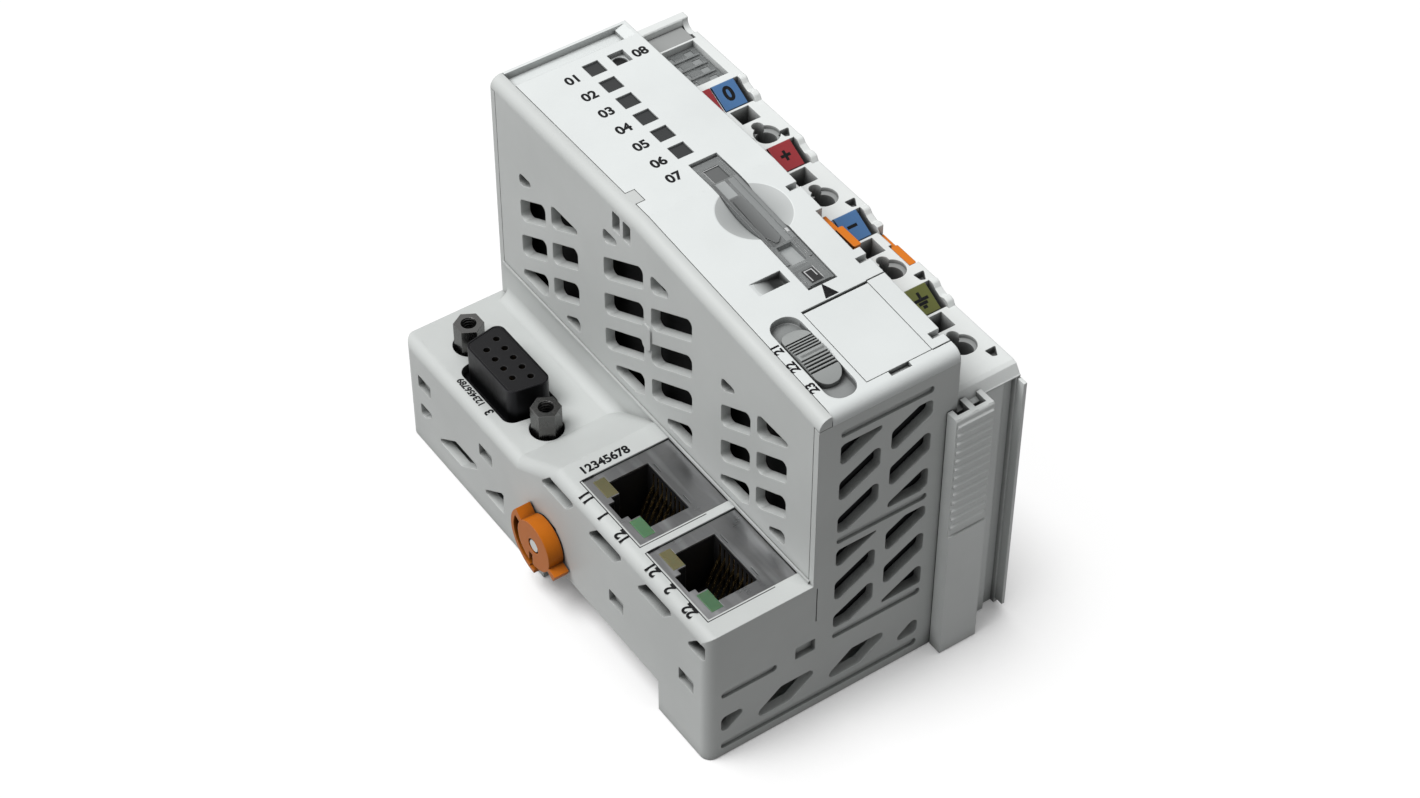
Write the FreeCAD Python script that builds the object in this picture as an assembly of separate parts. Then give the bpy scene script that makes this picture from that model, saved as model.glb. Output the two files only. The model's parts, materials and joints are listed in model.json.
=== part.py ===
import FreeCAD, Part
import math
import os

from FreeCAD import Vector

os.makedirs("parts", exist_ok=True)

# A rail-mounted controller with a low socket part at the left, a raised block with the
# operating face in the middle and a clamp module at the right.
#
# Lengths are millimetres. X runs along the rail from the left face, Y runs from the low
# end of the body to its high end, Z runs from the back plane out to the front. export()
# moves every piece so that the origin lies under the middle of the whole assembly.

# ---------------------------------------------------------------- driving dimensions
housing_width = 61.5
body_length = 94.1
grip_standout = 2.95          # each end grip, so the whole module is 100 long
port_width = 20.7             # low part that carries the sockets
terminal_width = 13.5         # clamp module
wall = 1.8                    # moulded walls
cover_thickness = 2.2         # front cover
side_thickness = 2.0          # grille cover at the left of the block

front_depth = 71.9            # flat part of the operating face
front_drop = 4.0              # the face slopes down by this towards the low end
front_bend = 50.0
port_depth = 30.4             # face with the two network sockets
serial_depth = 23.05          # face with the serial socket
ramp_low = 45.1
ramp_high = 57.35
terminal_depth = 64.9         # clamp face beside the indicators
step_height = 2.05            # the clamp face steps down by this after each row
side_cover_start = 31.0       # parting line between housing and grille cover
edge_round = 2.0
cover_round = 1.9             # low edge of the front cover
small_round = 0.6

rail_width = 35.0
rail_web = 27.0
rail_flange = 1.0
rail_seat = 7.2               # depth of the channel that the rail sits in
rail_centre = 31.9
rail_clearance = 0.25

fit = 0.05                    # running clearance of pins and sliding pieces
seam = 0.12                   # gap between covers that lie side by side
travel_gap = 0.3              # free air around pieces that move past a wall
board_thickness = 1.6

disc_standout = 3.2           # locking disc in front of the left face
disc_gap = 0.3

# grilles
slot_pitch = 8.1
slot_height = 4.9
slot_slope = 0.55
slot_round = 1.0
smallest_slot = 3.0           # square millimetres

# main housing
serial_x = 8.5
serial_y = 72.95
serial_nut_span = 25.0
jack_size = 17.2
jack_left = 3.1
jack_low = 4.05
jack_pitch = 19.35
disc_y = 47.2
disc_z = 12.3
pivot_radius = 0.9
vent_width = 8.0
vent_gap = 2.0
board_low = 14.6
board_post_y = 72.0
bus_window = (38.0, 56.0, 24.0, 32.0)

# grille cover
grille_low = 32.7
grille_head = 8.4             # the tall panels end this far below the face
short_head = 15.2
grille_panels = [
    # start and width along the wall, distance of its high edge from the face, first slot
    (13.9, 8.1, short_head, 29.4),
    (23.9, 8.1, short_head, 26.9),
    (40.0, 11.8, grille_head, 27.7),
    (54.0, 11.8, grille_head, 26.9),
    (74.0, 8.1, short_head, 29.4),
    (83.9, 8.1, short_head, 26.9),
]
snap_low = 53.7
snap_high = 56.7
snap_reach = 1.8

# front cover
window_width = 3.2
window_height = 3.3
window_first = 84.5
window_pitch = 5.13
window_count = 6
reset_radius = 1.35
card_width = 5.6
card_low = 23.2
card_high = 56.7
thumb_y = 42.0
thumb_radius = 6.5
thumb_depth = 1.4
pocket_depth = 1.8
mode_width = 5.6
mode_low = 2.0
mode_high = 20.7
mode_depth = 1.5
mode_travel = 2.6
slider_lift = 0.4             # the slider is this much shorter at its low end
flap_low = 2.7
flap_high = 20.0
flap_thickness = 1.0
marker_low = 89.9
marker_high = 93.5
marker_depth = 1.4
notch_pitch = 19.0
notch_first = 4.6
card_thickness = 1.2
card_sunk = 0.25
card_end_gap = 0.6
rib_low = 34.0
rib_high = 46.3
reset_switch_height = 2.4
reset_travel = 0.5

# clamp module
row_count = 4
row_first = 16.1
row_pitch = 18.9
top_row_shift = 2.3           # the top row sits this much closer
column_pitch = 4.9
wire_radius = 1.95
wire_depth = 7.0
wire_offset = -6.5
wire_shift = -0.35            # wire holes sit a little to the left of the square ones
ring_radius = 2.35
lobe_radius = 1.1
square_size = 3.8
marker_offset = 2.5           # from the middle of a row to the low edge of its marker
marker_length = 4.7
marker_width = 4.5
marker_pocket = 1.5
ear_width = 1.3
tab_low = 28.2
tab_high = 37.2
tab_head = 5.2
strap_channel = 1.25
indicator_low = 79.4
indicator_high = 90.2
indicator_sunk = 1.4
slot_low = 90.6
slot_high = 94.6
slot_depth = 0.8
terminal_head = 54.0
latch_low = 3.4
latch_high = 5.9
latch_travel = 2.0
tab_travel = 3.0
latch_end = 60.0
latch_reach = 2.4
spring_room = 7.2
spring_low = 41.0
spring_length = 5.0
data_low = 68.0
data_pitch = 2.6
data_z = 30.0
power_places = (16.0, 46.0, 62.0)
power_z = 26.0
terminal_wall = 1.2

# network sockets
jack_plate = 0.35
lamp_width = 2.3
lamp_length = 4.4
contact_pitch = 1.27

# serial socket
serial_top = 29.3
serial_flange_top = serial_depth - wall
nut_stud = 1.5
nut_bore = 1.4
nut_across = 4.75
nut_height = 7.0

# boards and parts on them
processor_size = 13.0
processor_low = 60.0
processor_height = 1.4
transformer_width = 9.0
transformer_length = 13.0
transformer_height = 5.5
can_radius = 4.2
can_length = 9.0
can_level = 42.0
can_places = (52.0, 63.0, 74.0)
inductor_size = 12.0
inductor_low = 16.0
inductor_level = 36.0
connector_width = 6.4
connector_length = 10.4

# locking disc
disc_radius = 4.9             # clears the front of the rail flange
arm_inner = 6.25              # the arm passes behind the flange
arm_outer = 7.1
far_lug_outer = 6.9
lug_angle = 30.0              # degrees from +Y
arm_end = -88.0

# ---------------------------------------------------------------- derived places
block_left = port_width
block_right = housing_width - terminal_width
strip_right = block_left + 2.4          # grille cover wraps this far onto the front
length = body_length
slope_angle = math.degrees(math.atan2(front_drop, front_bend))
channel_low = rail_centre - rail_width / 2 - rail_clearance
channel_high = rail_centre + rail_width / 2 + rail_clearance
disc_face = -disc_standout
arm_low = rail_seat + 1.0               # arm of a release tab, above the rail
arm_top = arm_low + 1.7
front_low_depth = front_depth - front_drop
terminal_low_depth = terminal_depth - row_count * step_height
chamber_low = terminal_low_depth - 14.7
terminal_board_top = chamber_low - 4.0
front_board_low = front_depth - 14.3
front_board_top = front_board_low + board_thickness
left_tab_top = terminal_depth + 3.8
right_tab_top = terminal_low_depth + step_height - 0.3
reset_left = block_right - 7.9
window_left = reset_left - 5.1
card_left = window_left + 0.5
card_right = card_left + card_width
mode_left = block_left + 4.3
mode_right = mode_left + mode_width
flap_left = mode_right + 1.1
flap_right = block_right - 3.5
vent_left = block_left + 4.3
vent_right = block_right - 5.0
board_post_x = block_left + 1.3
power_board_x = block_right - 6.6
terminal_board_x = block_right + 3.0
column_left = block_right + 3.9
ear_left = housing_width - ear_width
indicator_left = block_right + 2.4
indicator_right = housing_width - 2.0
origin_x = (housing_width + disc_face) / 2
origin_y = body_length / 2


def front_z(y):
    """Depth of the operating face at height y."""
    if y >= front_bend:
        return front_depth
    return front_depth - (front_bend - y) * front_drop / front_bend


def rows():
    """Middles of the square holes, from the low end."""
    places = [row_first + index * row_pitch for index in range(row_count)]
    places[-1] -= top_row_shift
    return places


def terminal_z(y):
    """Depth of the clamp face at height y: steps joined by the ramps the markers lie on."""
    level = terminal_low_depth
    for row in rows():
        share = (y - row - marker_offset) / marker_length
        level += step_height * min(1.0, max(0.0, share))
    return level


# ---------------------------------------------------------------- drawing helpers
def box(x0, x1, y0, y1, z0, z1):
    return Part.makeBox(x1 - x0, y1 - y0, z1 - z0, Vector(x0, y0, z0))


def rod(axis, centre, radius, span):
    """Cylinder from centre along axis, span long."""
    directions = {"x": Vector(1, 0, 0), "y": Vector(0, 1, 0), "z": Vector(0, 0, 1)}
    return Part.makeCylinder(radius, span, Vector(*centre), directions[axis])


def rectangle(u0, u1, v0, v1):
    return [(u0, v0), (u1, v0), (u1, v1), (u0, v1)]


def outline_edges(points, radius):
    """Edges of a closed outline whose corners are rounded by radius, or by what fits."""
    corners = [Vector(u, v, 0) for u, v in points]
    stops = []
    for i, corner in enumerate(corners):
        back = corners[i - 1] - corner
        ahead = corners[(i + 1) % len(corners)] - corner
        half = back.getAngle(ahead) / 2
        if radius <= 0 or abs(half - math.pi / 2) < 0.01:
            stops.append((corner, None, corner))
            continue
        cut = min(radius / math.tan(half), 0.45 * back.Length, 0.45 * ahead.Length)
        arc_radius = cut * math.tan(half)
        back.normalize()
        ahead.normalize()
        inward = back + ahead
        inward.normalize()
        middle = corner + inward * (arc_radius / math.sin(half) - arc_radius)
        stops.append((corner + back * cut, middle, corner + ahead * cut))
    edges = []
    for i, (start, middle, end) in enumerate(stops):
        if middle:
            edges.append(Part.Arc(start, middle, end).toShape())
        following = stops[(i + 1) % len(stops)][0]
        if (following - end).Length > 1e-6:
            edges.append(Part.makeLine(end, following))
    return edges


def prism(plane, points, low, high, radius=0.0):
    """Outline in plane xy, yz or xz, pushed along the third axis from low to high."""
    face = Part.Face(Part.Wire(outline_edges(points, radius)))
    turns = {
        "xy": FreeCAD.Matrix(1, 0, 0, 0, 0, 1, 0, 0, 0, 0, 1, low, 0, 0, 0, 1),
        "yz": FreeCAD.Matrix(0, 0, 1, low, 1, 0, 0, 0, 0, 1, 0, 0, 0, 0, 0, 1),
        "xz": FreeCAD.Matrix(1, 0, 0, 0, 0, 0, -1, low, 0, 1, 0, 0, 0, 0, 0, 1),
    }
    ways = {"xy": Vector(0, 0, 1), "yz": Vector(1, 0, 0), "xz": Vector(0, 1, 0)}
    placed = face.transformed(turns[plane], True)
    return placed.extrude(ways[plane] * (high - low))


def join(shapes):
    return shapes[0].multiFuse(shapes[1:]).removeSplitter()


def cut(shape, tools):
    return shape.cut(tools) if tools else shape


def tilt(shape):
    """Lay a piece that is drawn on the flat face onto the sloping part below the bend."""
    placed = shape.copy()
    placed.rotate(Vector(0, front_bend, front_depth), Vector(1, 0, 0), slope_angle)
    return placed


def move(shape, x=0.0, y=0.0, z=0.0):
    placed = shape.copy()
    placed.translate(Vector(x, y, z))
    return placed


def flip(shape):
    """The same piece at the other end of the body."""
    return shape.mirror(Vector(0, length / 2, 0), Vector(0, 1, 0))


def round_edges(shape, radius, wanted):
    """Fillet the straight edges for which wanted(first end, last end) holds."""
    picked = []
    for edge in shape.Edges:
        ends = [vertex.Point for vertex in edge.Vertexes]
        if len(ends) == 2 and wanted(ends[0], ends[1]):
            picked.append(edge)
    return shape.makeFillet(radius, picked)


def near(value, target):
    return abs(value - target) < 0.01


def export(name, shape):
    placed = move(shape, -origin_x, -origin_y, 0)
    placed.exportStep("parts/" + name + ".step")


def export_group(name, shapes):
    export(name, Part.makeCompound(shapes))


# ---------------------------------------------------------------- grilles

def clip(points, limit, keep_above):
    """Part of an outline above or below v = limit."""
    kept = []
    for i, (u1, v1) in enumerate(points):
        u0, v0 = points[i - 1]
        inside0 = v0 >= limit if keep_above else v0 <= limit
        inside1 = v1 >= limit if keep_above else v1 <= limit
        if inside0 != inside1 and min(abs(v0 - limit), abs(v1 - limit)) > 0.01:
            share = (limit - v0) / (v1 - v0)
            kept.append((u0 + share * (u1 - u0), limit))
        if inside1:
            kept.append((u1, v1))
    return kept


def area(points):
    total = 0.0
    for i, (u1, v1) in enumerate(points):
        u0, v0 = points[i - 1]
        total += (u0 * v1 - u1 * v0) / 2
    return abs(total)


def sloping_slots(u0, u1, v0, v1, first):
    """Slots that climb towards u1, cut off flat at v0 and v1."""
    slots = []
    rise = slot_slope * (u1 - u0)
    low = first
    while low < v1:
        slot = [(u0, low), (u1, low + rise), (u1, low + rise + slot_height), (u0, low + slot_height)]
        slot = clip(clip(slot, v0, True), v1, False)
        if len(slot) > 2 and area(slot) > smallest_slot:
            slots.append(slot)
        low += slot_pitch
    return slots


def leaning_slots(u0, u1, v0, v1, first, pitch, width, lean):
    """Slots between v0 and v1 whose ends lean by lean, cut off at u0 and u1."""
    slots = []
    start = first
    while start < u1:
        slot = [(v0, start), (v0, start + width), (v1, start + width + lean), (v1, start + lean)]
        slot = clip(clip(slot, u0, True), u1, False)
        if len(slot) > 2 and area(slot) > smallest_slot:
            slots.append([(u, v) for v, u in slot])
        start += pitch
    return slots


def from_high_end(outline):
    """Grilles on the side are laid out from the high end down."""
    return [(length + 5.9 - u, v) for u, v in outline][::-1]


# ---------------------------------------------------------------- main housing

def jack_place(index):
    """Low left corner of a network socket."""
    return jack_left, jack_low + index * jack_pitch


def port_profile(inset, bottom):
    return [(inset, bottom), (inset, port_depth - inset), (ramp_low - inset / 3, port_depth - inset),
            (ramp_high - inset / 3, serial_depth - inset), (length - inset, serial_depth - inset),
            (length - inset, bottom)]


def rail_channel(x0, x1):
    """Room for the rail, and for its web behind the fixed hooks."""
    return box(x0, x1, channel_low, channel_high, -1, rail_seat)


def fixed_hook(x0, x1):
    """Lug that reaches under the low flange of the rail."""
    web_side = rail_centre - rail_web / 2 - 0.6
    under = rail_seat - rail_flange - 0.35
    return prism("yz", [(channel_low - 0.5, 1.6), (channel_low + 0.9, 1.6), (web_side - 0.7, under - 1.0),
                        (web_side - 0.7, under), (channel_low - 0.5, under)], x0, x1)


def side_vents():
    """Openings in the low left wall."""
    slots = leaning_slots(49.0, 99.0, 24.7, 28.3, 50.6, 14.4, 8.0, 3.3)
    slots += leaning_slots(10.3, 38.0, 5.0, 10.0, 0.0, 15.2, 8.6, 7.0)
    return [prism("yz", from_high_end(slot), -1, wall + 1, 0.7) for slot in slots]


def side_pockets():
    pockets = []
    for index in range(5):
        start = 10.1 + index * 20.45
        outline = from_high_end(rectangle(start, start + 4.2, 13.9, 16.8))
        pockets.append(prism("yz", outline, -1, 1.1, 0.3))
    return pockets


def end_openings():
    """Slanting openings and blind grooves of one end wall, drawn on the low end."""
    slots = []
    for column, firsts in enumerate(((30.9, 15.4), (36.5, 13.1))):
        x0 = vent_left + column * (vent_width + vent_gap)
        x1 = x0 + vent_width
        upper, lower = firsts
        slots += sloping_slots(x0, x1, 40.2, front_low_depth - 7.4, upper)
        slots += sloping_slots(x0, x1, 17.3, 36.3, lower)
    slots += leaning_slots(2.8, vent_right, 4.7, 9.7, -6.0, 14.4, 8.4, 6.4)
    tools = [prism("xz", slot, -1, wall + 1, slot_round) for slot in slots]
    grooves = [(vent_left, vent_right, front_low_depth - 5.9, front_low_depth - 4.4),
               (vent_left, vent_right, 37.7, 39.2), (vent_left, vent_right, 14.7, 16.2),
               (2.8, block_left - 6.9, 14.5, 16.0), (2.8, vent_right, 1.7, 3.3)]
    for x0, x1, z0, z1 in grooves:
        tools.append(prism("xz", rectangle(x0, x1, z0, z1), -1, 0.6, 0.7))
    tools.append(prism("xz", rectangle(block_left - 3.2, block_left + 0.8, 14.5, 17.3), -1, 1.1, 0.3))
    tools.append(box(block_left + 0.7, block_left + 0.9, -1, 0.25, 21.5, 29.5))
    return tools


def serial_outline(grow):
    """D-shaped outline about the middle of the serial socket, long side towards +X."""
    half_height = 3.95 + grow
    half_long = 8.7 + grow
    half_short = half_long - 2 * (3.95 + grow) * math.tan(math.radians(10))
    return [(serial_x - half_height, serial_y - half_short), (serial_x + half_height, serial_y - half_long),
            (serial_x + half_height, serial_y + half_long), (serial_x - half_height, serial_y + half_short)]


def nut_places():
    return [serial_y - serial_nut_span / 2, serial_y + serial_nut_span / 2]


def main_housing():
    port = prism("yz", port_profile(0, 0), 0, block_left + wall)
    port = round_edges(port, edge_round, lambda a, b: near(a.x, 0) and near(b.x, 0)
                       and not (near(a.z, 0) and near(b.z, 0)))
    top = cover_thickness
    block_outline = [(0, 0), (0, front_z(0) - top), (front_bend, front_depth - top),
                     (length, front_depth - top), (length, 0)]
    block = prism("yz", block_outline, block_left, block_right)
    solid = join([port, block])

    port_room = prism("yz", port_profile(wall, wall), wall, block_left + wall + 1)
    block_room = box(block_left + wall, block_right - wall, wall, length - wall, wall, front_depth + 1)
    hump = box(-1, block_right, channel_low - wall, channel_high + wall, 0, rail_seat + wall)
    room = join([port_room, block_room]).cut(hump)
    cover_hole = box(block_left - 1, block_left + side_thickness, side_thickness - wall + 1.05,
                     length - 1.25, side_cover_start, front_depth + 1)
    tools = [room, cover_hole, rail_channel(-1, block_right + 1)]
    tools += side_vents() + side_pockets() + end_openings()
    tools += [flip(tool) for tool in end_openings()]
    for index in range(2):
        x, y = jack_place(index)
        tools.append(prism("xy", rectangle(x - seam, x + jack_size + 0.45, y - seam, y + jack_size + 0.25),
                           serial_depth, port_depth + 1))
    tools.append(prism("xy", serial_outline(1.25), serial_depth - wall - 1, serial_depth + 1, 2.2))
    for y in nut_places():
        tools.append(rod("z", (serial_x, y, serial_depth - wall - 1), 3.1, wall + 2))
    y0, y1, z0, z1 = bus_window
    tools.append(box(block_right - wall - 1, block_right + 1, y0, y1, z0, z1))
    tools.append(tab_window(left_tab_top - 2.4))
    body = solid.cut(tools)

    ledge_top = board_low
    additions = [
        box(wall, wall + 1.6, 6, channel_low - 4, ledge_top - 2, ledge_top),
        box(wall, wall + 1.6, channel_high + 8, length - 6, ledge_top - 2, ledge_top),
        box(block_right - wall - 1.6, block_right - wall, 6, length - 6, ledge_top - 2, ledge_top),
        box(block_right - wall - 2.2, block_right - wall, 30, length - 20, front_board_low - 1.8, front_board_low),
        rod("z", (board_post_x, rail_centre, rail_seat + wall), 2.2, ledge_top - rail_seat - wall),
        rod("z", (board_post_x, board_post_y, wall), 2.2, ledge_top - wall),
        box(block_left - 0.35, block_left, 1.0, length - 1.0, side_cover_start - 0.6, side_cover_start),
        fixed_hook(6.0, 12.0),
        fixed_hook(block_right - 18.0, block_right - 12.0),
    ]
    return join([body] + additions + [serial_cove()])


def serial_cove():
    """Hollow fillet between the serial face and the block wall above it."""
    radius = 2.2
    low = Vector(block_left - radius, ramp_low, serial_depth)
    corner = Vector(block_left, ramp_low, serial_depth)
    high = Vector(block_left, ramp_low, serial_depth + radius)
    centre = Vector(block_left - radius, ramp_low, serial_depth + radius)
    middle = centre + Vector(1, 0, -1).normalize() * radius
    edges = [Part.makeLine(low, corner), Part.makeLine(corner, high), Part.Arc(high, middle, low).toShape()]
    strip = Part.Face(Part.Wire(edges)).extrude(Vector(0, length - wall - ramp_low, 0))
    return strip


# ---------------------------------------------------------------- grille cover

def side_cover():
    start = side_cover_start + seam
    outline = [(0, start), (0, front_z(0)), (front_bend, front_depth), (length, front_depth), (length, start)]
    shell = prism("yz", outline, block_left, strip_right)
    shell = round_edges(shell, edge_round, lambda a, b: near(a.x, block_left) and near(b.x, block_left)
                        and a.z > front_low_depth - 1 and b.z > front_low_depth - 1)
    under = cover_thickness - seam
    inner = [(-1, start - 1), (-1, front_z(-1) - under), (front_bend, front_depth - under),
             (length + 1, front_depth - under), (length + 1, start - 1)]
    tools = [prism("yz", inner, block_left + side_thickness - seam, strip_right + 1)]
    step_low = 1.05 + side_thickness - wall + seam
    low_end = [(-1, start - 1), (step_low, start - 1), (step_low, front_z(step_low) - under),
               (-1, front_z(-1) - under)]
    high_end = [(length - 1.25 - seam, start - 1), (length + 1, start - 1),
                (length + 1, front_depth - under), (length - 1.25 - seam, front_depth - under)]
    tools.append(prism("yz", low_end, block_left - 1, strip_right + 1))
    tools.append(prism("yz", high_end, block_left - 1, strip_right + 1))
    for u0, width, head, first in grille_panels:
        for slot in sloping_slots(u0, u0 + width, grille_low, front_depth - head, first):
            tools.append(prism("yz", from_high_end(slot), block_left - 1, strip_right + 1, slot_round))
    for start_u in (43.0, 46.1):
        outline = from_high_end(rectangle(start_u, start_u + 2.2, front_depth - 6.6, front_depth - 2.6))
        tools.append(prism("yz", outline, block_left - 1, block_left + side_thickness + 1, 0.4))
    cover = shell.cut(tools)
    boss = prism("yz", from_high_end(rectangle(51.7, 54.1, 46.0, 51.5)), block_left - 0.35, block_left, 1.0)
    snap = box(strip_right, strip_right + snap_reach, snap_low, snap_high, front_depth - under, front_depth)
    return join([cover, boss, snap])


# ---------------------------------------------------------------- front cover

def front_cover():
    top = cover_thickness
    outline = [(0, front_z(0) - top), (0, front_z(0)), (front_bend, front_depth), (length, front_depth),
               (length, front_depth - top), (front_bend, front_depth - top)]
    plate = prism("yz", outline, strip_right + seam, block_right)
    plate = round_edges(plate, cover_round, lambda a, b: near(a.y, 0) and near(b.y, 0)
                        and near(a.z, front_z(0)) and near(b.z, front_z(0)))
    tools = []
    for index in range(window_count):
        y = window_first - index * window_pitch
        tools.append(box(window_left, window_left + window_width, y, y + window_height, front_depth - 4,
                         front_depth + 1))
    tools.append(box(reset_left, reset_left + window_width, window_first, window_first + window_height,
                     front_depth - 1.1, front_depth + 1))
    tools.append(rod("z", (reset_left + window_width / 2, window_first + window_height / 2,
                           front_depth - top - 1), reset_radius + fit, top + 2))
    tools.append(box(card_left, card_right, card_low, card_high, front_low_depth - top, front_depth + 1))
    ball = (thumb_radius ** 2 + thumb_depth ** 2) / (2 * thumb_depth)
    thumb = Part.makeSphere(ball, Vector((card_left + card_right) / 2, thumb_y, front_depth + ball - thumb_depth))
    tools.append(tilt(thumb))
    tools.append(tilt(finger_pocket()))
    tools.append(tilt(prism("xy", rectangle(mode_left, mode_right, mode_low, mode_high),
                            front_depth - mode_depth, front_depth + 2, (mode_right - mode_left) / 2)))
    tools.append(tilt(mode_slot()))
    tools.append(tilt(box(flap_left, flap_right, flap_low, flap_high, front_depth - flap_thickness - 0.15,
                          front_depth + 2)))
    tools.append(tilt(box(flap_left + 1.6, flap_right - 1.2, flap_low + 1.8, flap_high - 2.0,
                          front_depth - top - 3, front_depth)))
    tools.append(tilt(box(flap_left + 4.1, flap_left + 8.1, flap_low - 1.0, flap_low + 0.01,
                          front_depth - 1.0, front_depth + 2)))
    for y in (flap_low, flap_high):
        tools.append(tilt(box(flap_right - 0.01, block_right + 1, y - 0.12, y + 0.12, front_depth - 0.4,
                              front_depth + 1)))
    tools.append(tilt(flap_pegs(fit)))
    tools.append(card_pegs(fit))
    recess_end = block_right - 2.5
    tools.append(box(strip_right, recess_end, marker_low, marker_high, front_depth - marker_depth,
                     front_depth + 1))
    tools.append(prism("xz", [(recess_end, front_depth + 1), (recess_end, front_depth - 0.6),
                              (recess_end + 1.9, front_depth + 0.01), (recess_end + 1.9, front_depth + 1)],
                       marker_low, marker_high))
    for index in range(3):
        y = notch_first + index * notch_pitch
        tools.append(box(block_right - 2.2, block_right + 1, y, y + 1.3, front_z(y) - 1.2, front_depth + 1))
    tools.append(box(strip_right, strip_right + snap_reach + seam, snap_low - seam, snap_high + seam,
                     front_depth - 4, front_depth + 1))
    tools.append(tab_window(front_low_depth - 4))
    cover = plate.cut(tools)

    bosses = []
    for y in (25.0, 48.0, 90.0):
        post = rod("z", (block_left + 5.8, y, front_board_top), 1.3, front_z(y) - top - front_board_top + 0.5)
        bosses.append(post)
    for x in (strip_right + 0.6, block_right - wall - 1.4):
        bosses.append(box(x, x + 1.0, 60.0, 80.0, front_depth - top - 2.2, front_depth - top + 0.1))
    return join([cover] + bosses)


def tab_window(bottom):
    """Cut-out at the right edge that leaves the left release tab free."""
    return box(block_right - 1.3, block_right + 1, tab_low - 1.6, tab_high - 0.4, bottom, front_depth + 1)


def finger_pocket():
    """Pocket whose floor slopes down towards the card slot."""
    x0 = strip_right + 5.0
    x1 = card_left - 1.4
    outline = [(x0, front_depth), (x1, front_depth - pocket_depth), (x1, front_depth + 2), (x0, front_depth + 2)]
    return prism("xz", outline, 26.2, 29.1)


def mode_slot():
    """Slot in the floor of the recess that lets the stem of the slider through."""
    middle_x = (mode_left + mode_right) / 2
    middle_y = (mode_low + mode_high) / 2
    half = mode_travel + 2.0
    return box(middle_x - 0.9, middle_x + 0.9, middle_y - half, middle_y + half,
               front_depth - cover_thickness - 1, front_depth)


def mode_slider():
    """Domed slider with grip ribs, drawn flat and laid on the slope."""
    middle_x = (mode_left + mode_right) / 2
    middle_y = (mode_low + mode_high) / 2
    floor = front_depth - mode_depth
    half_width = (mode_right - mode_left) / 2 - travel_gap
    half_length = (mode_high - mode_low) / 2 - mode_travel - travel_gap - slider_lift
    stem_y = middle_y
    middle_y += slider_lift
    crown = floor + 0.1 + 2.2
    plan = rectangle(middle_x - half_width, middle_x + half_width, middle_y - half_length,
                     middle_y + half_length)
    knob = prism("xy", plan, floor + 0.1, crown, half_width)
    arch_radius = (half_length ** 2 + 1.3 ** 2) / (2 * 1.3)
    arch = rod("x", (middle_x - 5, middle_y, crown - arch_radius), arch_radius, 10)
    knob = knob.common(arch)
    grooves = []
    for index in range(5):
        for side in (-1, 1):
            y = middle_y + side * (0.85 + index * 0.62)
            grooves.append(box(middle_x - 5, middle_x + 5, y - 0.17, y + 0.17,
                               crown - 0.35 - 0.11 * index, crown + 1))
    ridge = prism("yz", [(middle_y - 0.5, crown - 0.3), (middle_y + 0.5, crown - 0.3), (middle_y, crown + 0.35)],
                  middle_x - half_width + 0.4, middle_x + half_width - 0.4)
    stem = box(middle_x - 0.9 + fit, middle_x + 0.9 - fit, stem_y - 1.8, stem_y + 1.8,
               front_depth - cover_thickness - 1.6, floor + 0.2)
    return tilt(join([cut(knob, grooves), ridge, stem]))


def flap_pegs(gap):
    """Hinge pegs of the flap, or with a gap the holes that they turn in."""
    y = flap_high - travel_gap - flap_thickness / 2
    z = front_depth - flap_thickness / 2
    return rod("x", (flap_left - 0.7 - gap, y, z), 0.32 + gap, flap_right - flap_left + 1.4 + 2 * gap)


def service_flap():
    y1 = flap_high - travel_gap - flap_thickness / 2
    z0 = front_depth - flap_thickness
    leaf = box(flap_left + seam, flap_right - seam, flap_low + seam, y1, z0, front_depth)
    knuckle = rod("x", (flap_left + seam, y1, z0 + flap_thickness / 2), flap_thickness / 2,
                  flap_right - flap_left - 2 * seam)
    return tilt(join([leaf, knuckle, flap_pegs(0)]))


def card_hinge():
    """Y and Z of the axis that the card cover turns on."""
    return card_high - travel_gap - card_thickness / 2, front_depth - card_sunk - card_thickness / 2


def card_pegs(gap):
    y, z = card_hinge()
    return rod("x", (card_left - 0.8 - gap, y, z), 0.4 + gap, card_right - card_left + 1.6 + 2 * gap)


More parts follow.
